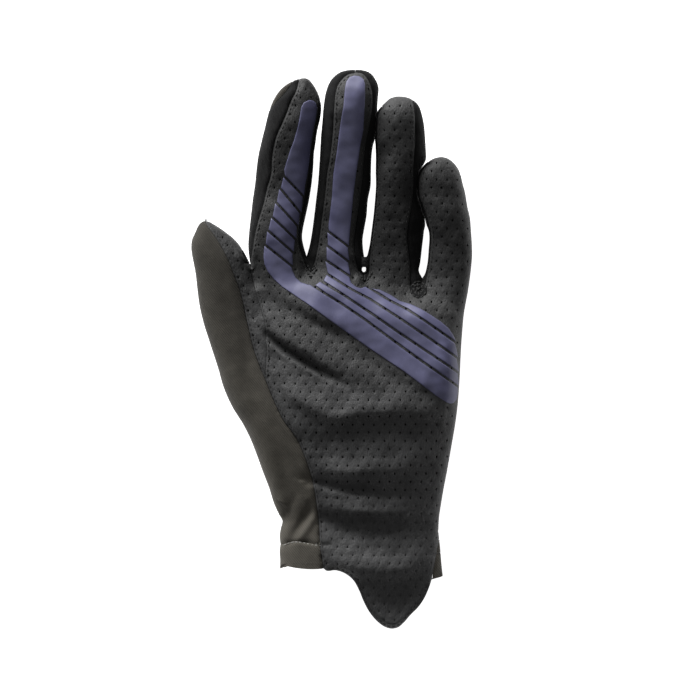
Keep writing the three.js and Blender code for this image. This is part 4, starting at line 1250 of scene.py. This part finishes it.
# Each sheet's material, slot and thickness in mm
finish = {
    "palm_panel": (leather, "palm_leather", 0.9),
    "thumb_palm_panel": (leather, "palm_leather", 0.9),
    "thumb_side_panel": (olive, "back_cloth", 0.8),
    "back_panel": (olive, "back_cloth", 0.8),
    "cuff_hem": (olive, "back_cloth", 1.3),
    "index_outer_gusset": (knit, "side_knit", 0.8),
    "index_middle_fourchette": (knit, "side_knit", 0.8),
    "middle_ring_fourchette": (knit, "side_knit", 0.8),
    "ring_little_fourchette": (knit, "side_knit", 0.8),
}
for name, (material, slot, thick) in finish.items():
    k = number[name]
    faces = np.concatenate([front_faces[front_kind == k], back_faces[back_kind == k]])
    v, f = shell(all_v, faces, thick, SEAM_INSET, SEAM_TURN, is_hole)
    piece = make_object("dressed_" + name, v, f, material)
    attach(piece, "root")
    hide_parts(name)

# The grip pieces lie on the leather.
GRIP_LIFT = 0.06
GRIP_THICK = 0.42
GRIP_EDGE = 0.12  # thickness at the rim
GRIP_ROUND = 0.5  # width of the rounded rim


def surface(p):
    """Height of the leather with its folds and seams, without its holes."""
    z = front_form(p)
    edge = edge_near.far(p)
    z = z + fold_heights(p) * np.clip(edge / FOLD_CLEAR, 0, 1)
    z = z + bumps(p) * np.clip(edge / BUMP_CLEAR, 0, 1)
    return z - seam_drop(p)


for name, loop in grip_edges.items():
    clear = Points(dense(closed_line(loop), 0.1))
    rows = inset_rows(loop, (0.1, 0.25, 0.5), clear)
    inner_grid = grid(loop.min(0), loop.max(0), GRID)
    inner_grid = inner_grid[inside(inner_grid, loop)]
    inner_grid = inner_grid[clear.far(inner_grid) > 0.8]
    v, f = triangulate([loop], [], [], np.concatenate(rows + [inner_grid]))
    f = f[inside(centres(v, f), loop)]
    f = upward(f, v)
    base = surface(v) + GRIP_LIFT
    d = clear.far(v)
    round_edge = np.sqrt(1 - (1 - np.clip(d / GRIP_ROUND, 0, 1)) ** 2)
    top = base + GRIP_EDGE + (GRIP_THICK - GRIP_EDGE) * round_edge
    rim = boundary_edges(f)
    count = len(v)
    whole = lap(np.concatenate([np.column_stack([v, top]), np.column_stack([v, base])]))
    faces = np.concatenate([f, f[:, ::-1] + count, wall_faces(rim, count)])
    piece = make_object("dressed_" + name, whole, faces, grip)
    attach(piece, "root")
    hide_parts(name)


# Stitches: short threads along a line, as one piece for each kind of thread
def shifted(line, distance):
    """The line moved sideways in mm, to the left of its direction."""
    ahead = np.gradient(line, axis=0)
    ahead /= np.linalg.norm(ahead, axis=1)[:, None]
    return line + distance * np.column_stack([-ahead[:, 1], ahead[:, 0]])


def stitch_run(line, length, gap):
    """Cuts a line into stitches of five points each."""
    s = np.concatenate([[0], np.cumsum(np.linalg.norm(np.diff(line, axis=0), axis=1))])
    starts = np.arange(gap, s[-1] - length, length + gap)
    at = starts[:, None] + np.linspace(0, length, 5)[None]
    return np.stack([np.interp(at, s, line[:, 0]), np.interp(at, s, line[:, 1])], axis=2)


THREAD_RISE = np.array([-0.4, 0.7, 1.0, 0.7, -0.4])
THREAD_WIDTH = np.array([0.5, 0.95, 1.0, 0.95, 0.5])


def thread_piece(name, runs, radius, material, lift=0.0, taut=0):
    """One object of many short threads lying on the surface; the last ones may be taut, from end to end."""
    p = np.concatenate(runs)
    count = len(p)
    z = surface(p.reshape(-1, 2)).reshape(count, 5)
    for i in range(count - taut, count):
        z[i] = np.linspace(z[i, 0], z[i, -1], 5)
    z = z + radius * THREAD_RISE + lift
    path = lap(np.column_stack([p.reshape(-1, 2), z.reshape(-1)])).reshape(count, 5, 3)
    ahead = np.gradient(path, axis=1)
    ahead /= np.maximum(np.linalg.norm(ahead, axis=2), 1e-9)[..., None]
    across = np.cross(ahead, (0, 0, 1.0))
    across /= np.maximum(np.linalg.norm(across, axis=2), 1e-9)[..., None]
    up = np.cross(across, ahead)
    turn = np.arange(6) * math.pi / 3
    round_x = np.cos(turn)[None, None, :, None] * across[:, :, None]
    round_y = np.sin(turn)[None, None, :, None] * up[:, :, None]
    ring = radius * THREAD_WIDTH[None, :, None, None] * (round_x + round_y)
    v = (path[:, :, None] + ring).reshape(-1, 3)
    one = []
    for k in range(4):
        for i in range(6):
            a, b = k * 6 + i, k * 6 + (i + 1) % 6
            one += [(a, b, b + 6), (a, b + 6, a + 6)]
    for i in range(1, 5):
        one += [(0, i + 1, i), (24, 24 + i, 25 + i)]
    one = np.array(one)
    f = (one[None] + np.arange(count)[:, None, None] * 30).reshape(-1, 3)
    piece = make_object(name, v, f, material, sharp=80)
    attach(piece, "root")


def thread_material(name, base, pitch):
    m, nodes, links, shader = new_material(name, base, 0.7)
    v = place(nodes, links, turn=math.radians(35))
    twist = nodes.new("ShaderNodeTexWave")
    twist.inputs["Scale"].default_value = WAVE / pitch
    links.new(v, twist.inputs["Vector"])
    links.new(bump(nodes, links, twist.outputs["Fac"], 0.5, 0.0001), shader.inputs["Normal"])
    fuzz = noise(nodes, links, v, 1500)
    tone = ramp(nodes, links, fuzz, [(0.3, scaled(base, 0.7)), (0.7, scaled(base, 1.3))])
    links.new(tone, shader.inputs["Base Color"])
    shader.inputs["Specular IOR Level"].default_value = 0.3
    return m


dark_thread = thread_material("dark_thread", (0.022, 0.022, 0.022), 0.0004)
pale_thread = thread_material("pale_thread", (0.27, 0.265, 0.25), 0.0004)
olive_thread = thread_material("olive_thread", (0.07, 0.065, 0.055), 0.0004)

STITCH = 1.5
STITCH_GAP = 0.6
leather_lines = [(index_seam[4:-7], 0.95), (web_one[2:-6], -0.95), (web_two[6:-6], -0.95),
                 (web_three[4:-6], -0.95), (side_seam[8:-6], 0.9), (thumb_seam[14:], 0.9),
                 (tab_edge[4:], 0.9)]
leather_runs = [stitch_run(shifted(line, far), STITCH, STITCH_GAP) for line, far in leather_lines]
thread_piece("leather_stitches", leather_runs, 0.15, dark_thread)
hem_top = curve([(282.6, 545.4), (292.9, 541.6), (305.4, 542.4), (311, 543.8), (319.4, 544.4)])
hem_rows = [curve([(283, y), (300, y + 0.8), (321, y)]) for y in (561.6, 564.2)]
thread_piece("hem_stitch_line", [stitch_run(hem_top, 1.35, 0.35)], 0.2, pale_thread, 0.1)
hem_runs = [stitch_run(row, 1.3, 0.5) for row in hem_rows]
thread_piece("hem_edge_stitches", hem_runs, 0.15, olive_thread)


def loop_at(centre, radius, start, end):
    """Points of an arc round a centre, in view units."""
    turn = np.radians(np.linspace(start, end, 9))
    return np.column_stack([centre[0] + radius * np.cos(turn), centre[1] - radius * 1.08 * np.sin(turn)])


knot = (418.3, 289.6)
patch_turn = np.arange(24) * math.pi / 12
patch_edge = plan([(knot[0] + 8.6 * math.cos(a), knot[1] + 8.2 * math.sin(a)) for a in patch_turn])
patch_near = Points(dense(closed_line(patch_edge)))
patch_rows = inset_rows(patch_edge, (0.3, 0.8, 1.5, 2.3), patch_near)
patch_v, patch_f = triangulate([patch_edge], [], [], np.concatenate(patch_rows))
patch_f = upward(patch_f, patch_v)
patch_far = np.linalg.norm(patch_v - plan([knot])[0], axis=1)
pucker = 0.3 * np.clip((3.6 - patch_far) / 0.8, 0, 1) - 0.25 * np.exp(-(patch_far**2))
patch_top = surface(patch_v) + 0.05 + pucker
patch_v = lap(np.column_stack([patch_v, patch_top]))
patch = make_object("web_knot_pucker", *shell(patch_v, patch_f, 0.35, 0, 0), knit)
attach(patch, "root")
knot_lines = [loop_at(knot, 7.4, 0, 180), loop_at(knot, 7.4, 180, 360), loop_at(knot, 4.6, 100, 300),
              loop_at(knot, 4.2, -60, 120)]
knot_lines += [[(412.6, 284), (424, 295)], [(424, 284.4), (412.4, 294.6)], [(411, 289), (425.6, 290.4)],
               [(417, 282.6), (419, 297)]]
web_lines = [
    [(360.2, 274.6), (364.6, 282.6)], [(371.2, 274.6), (365, 282.6)], [(364.8, 273.4), (365, 281.6)],
    [(358.6, 272), (363.6, 279)], [(372.6, 271.6), (367, 279.4)],
    [(307.4, 264.6), (311, 273)], [(315, 263.6), (311.6, 273)], [(305.4, 268), (310, 276)],
    [(317, 268), (312.6, 276)], [(308.6, 276.6), (314.6, 276.2)], [(306.6, 272.6), (309.8, 275.4)],
]
knot_runs = [stitch_run(curve(points, 0.4), 1.7, 0.15) for points in knot_lines]
knot_runs += [stitch_run(dense(plan(points)), 1.5, 0.1) for points in web_lines]
# Threads across the slit between the middle and ring fingers, drawn tight
BRIDGES = 22
slants = np.random.default_rng(5).uniform(-0.5, 0.5, BRIDGES)
bridge_y = 257.4 + 0.44 * np.arange(BRIDGES)
bridges = [[(361.6, y), (368.2, y + slant)] for y, slant in zip(bridge_y, slants)]
for start, end in map(plan, bridges):
    knot_runs.append(start + (end - start) * np.linspace(0, 1, 5)[:, None])
knot_runs = [run.reshape(-1, 5, 2) for run in knot_runs]
thread_piece("web_knots", knot_runs, 0.26, dark_thread, 0.12, len(bridges))

# Floor, camera and light
floor_mesh = bpy.data.meshes.new("floor")
floor_mesh.from_pydata([(-4, -4, 0), (4, -4, 0), (4, 4, 0), (-4, 4, 0)], [], [(0, 1, 2, 3)])
floor = bpy.data.objects.new("floor", floor_mesh)
bpy.context.scene.collection.objects.link(floor)
floor_material, _, _, floor_shader = new_material("floor_white", (0.93, 0.93, 0.93), 0.9)
floor_shader.inputs["Specular IOR Level"].default_value = 0.0
floor_shader.inputs["Emission Color"].default_value = (1, 1, 1, 1)
floor_shader.inputs["Emission Strength"].default_value = 0.98
floor_mesh.materials.append(floor_material)

PICTURE = 700  # the photo's width and height in view units
SENSOR = 36
CAMERA_LIFT = 0.011  # height of the plane at which the scale is true, m
lens = 200
camera_data = bpy.data.cameras.new("camera")
camera_data.lens = lens
camera_data.sensor_width = SENSOR
camera_data.clip_end = 20
camera = bpy.data.objects.new("camera", camera_data)
camera_height = PICTURE * UNIT * MM * lens / SENSOR + CAMERA_LIFT
camera.location = ((PICTURE / 2 - CENTRE_X) * UNIT * MM, 0, camera_height)
bpy.context.scene.collection.objects.link(camera)
bpy.context.scene.camera = camera


def area_light(name, where, size, power, aim=(0, 0, 0)):
    data = bpy.data.lights.new(name, "AREA")
    data.shape = "RECTANGLE"
    data.size = size[0]
    data.size_y = size[1]
    data.energy = power
    light_object = bpy.data.objects.new(name, data)
    light_object.location = where
    direction = Vector(aim) - Vector(where)
    light_object.rotation_euler = direction.to_track_quat("-Z", "Y").to_euler()
    bpy.context.scene.collection.objects.link(light_object)
    return light_object


area_light("key", (-1.3, 2.75, 0.75), (2.2, 1.1), 225)
area_light("fill", (0.1, -0.1, 1.9), (1.6, 1.4), 6)
world = bpy.data.worlds.new("studio")
world.use_nodes = True
world.node_tree.nodes["Background"].inputs["Color"].default_value = (1, 1, 1, 1)
world.node_tree.nodes["Background"].inputs["Strength"].default_value = 0.1
bpy.context.scene.world = world
bpy.context.scene.view_settings.view_transform = "Standard"
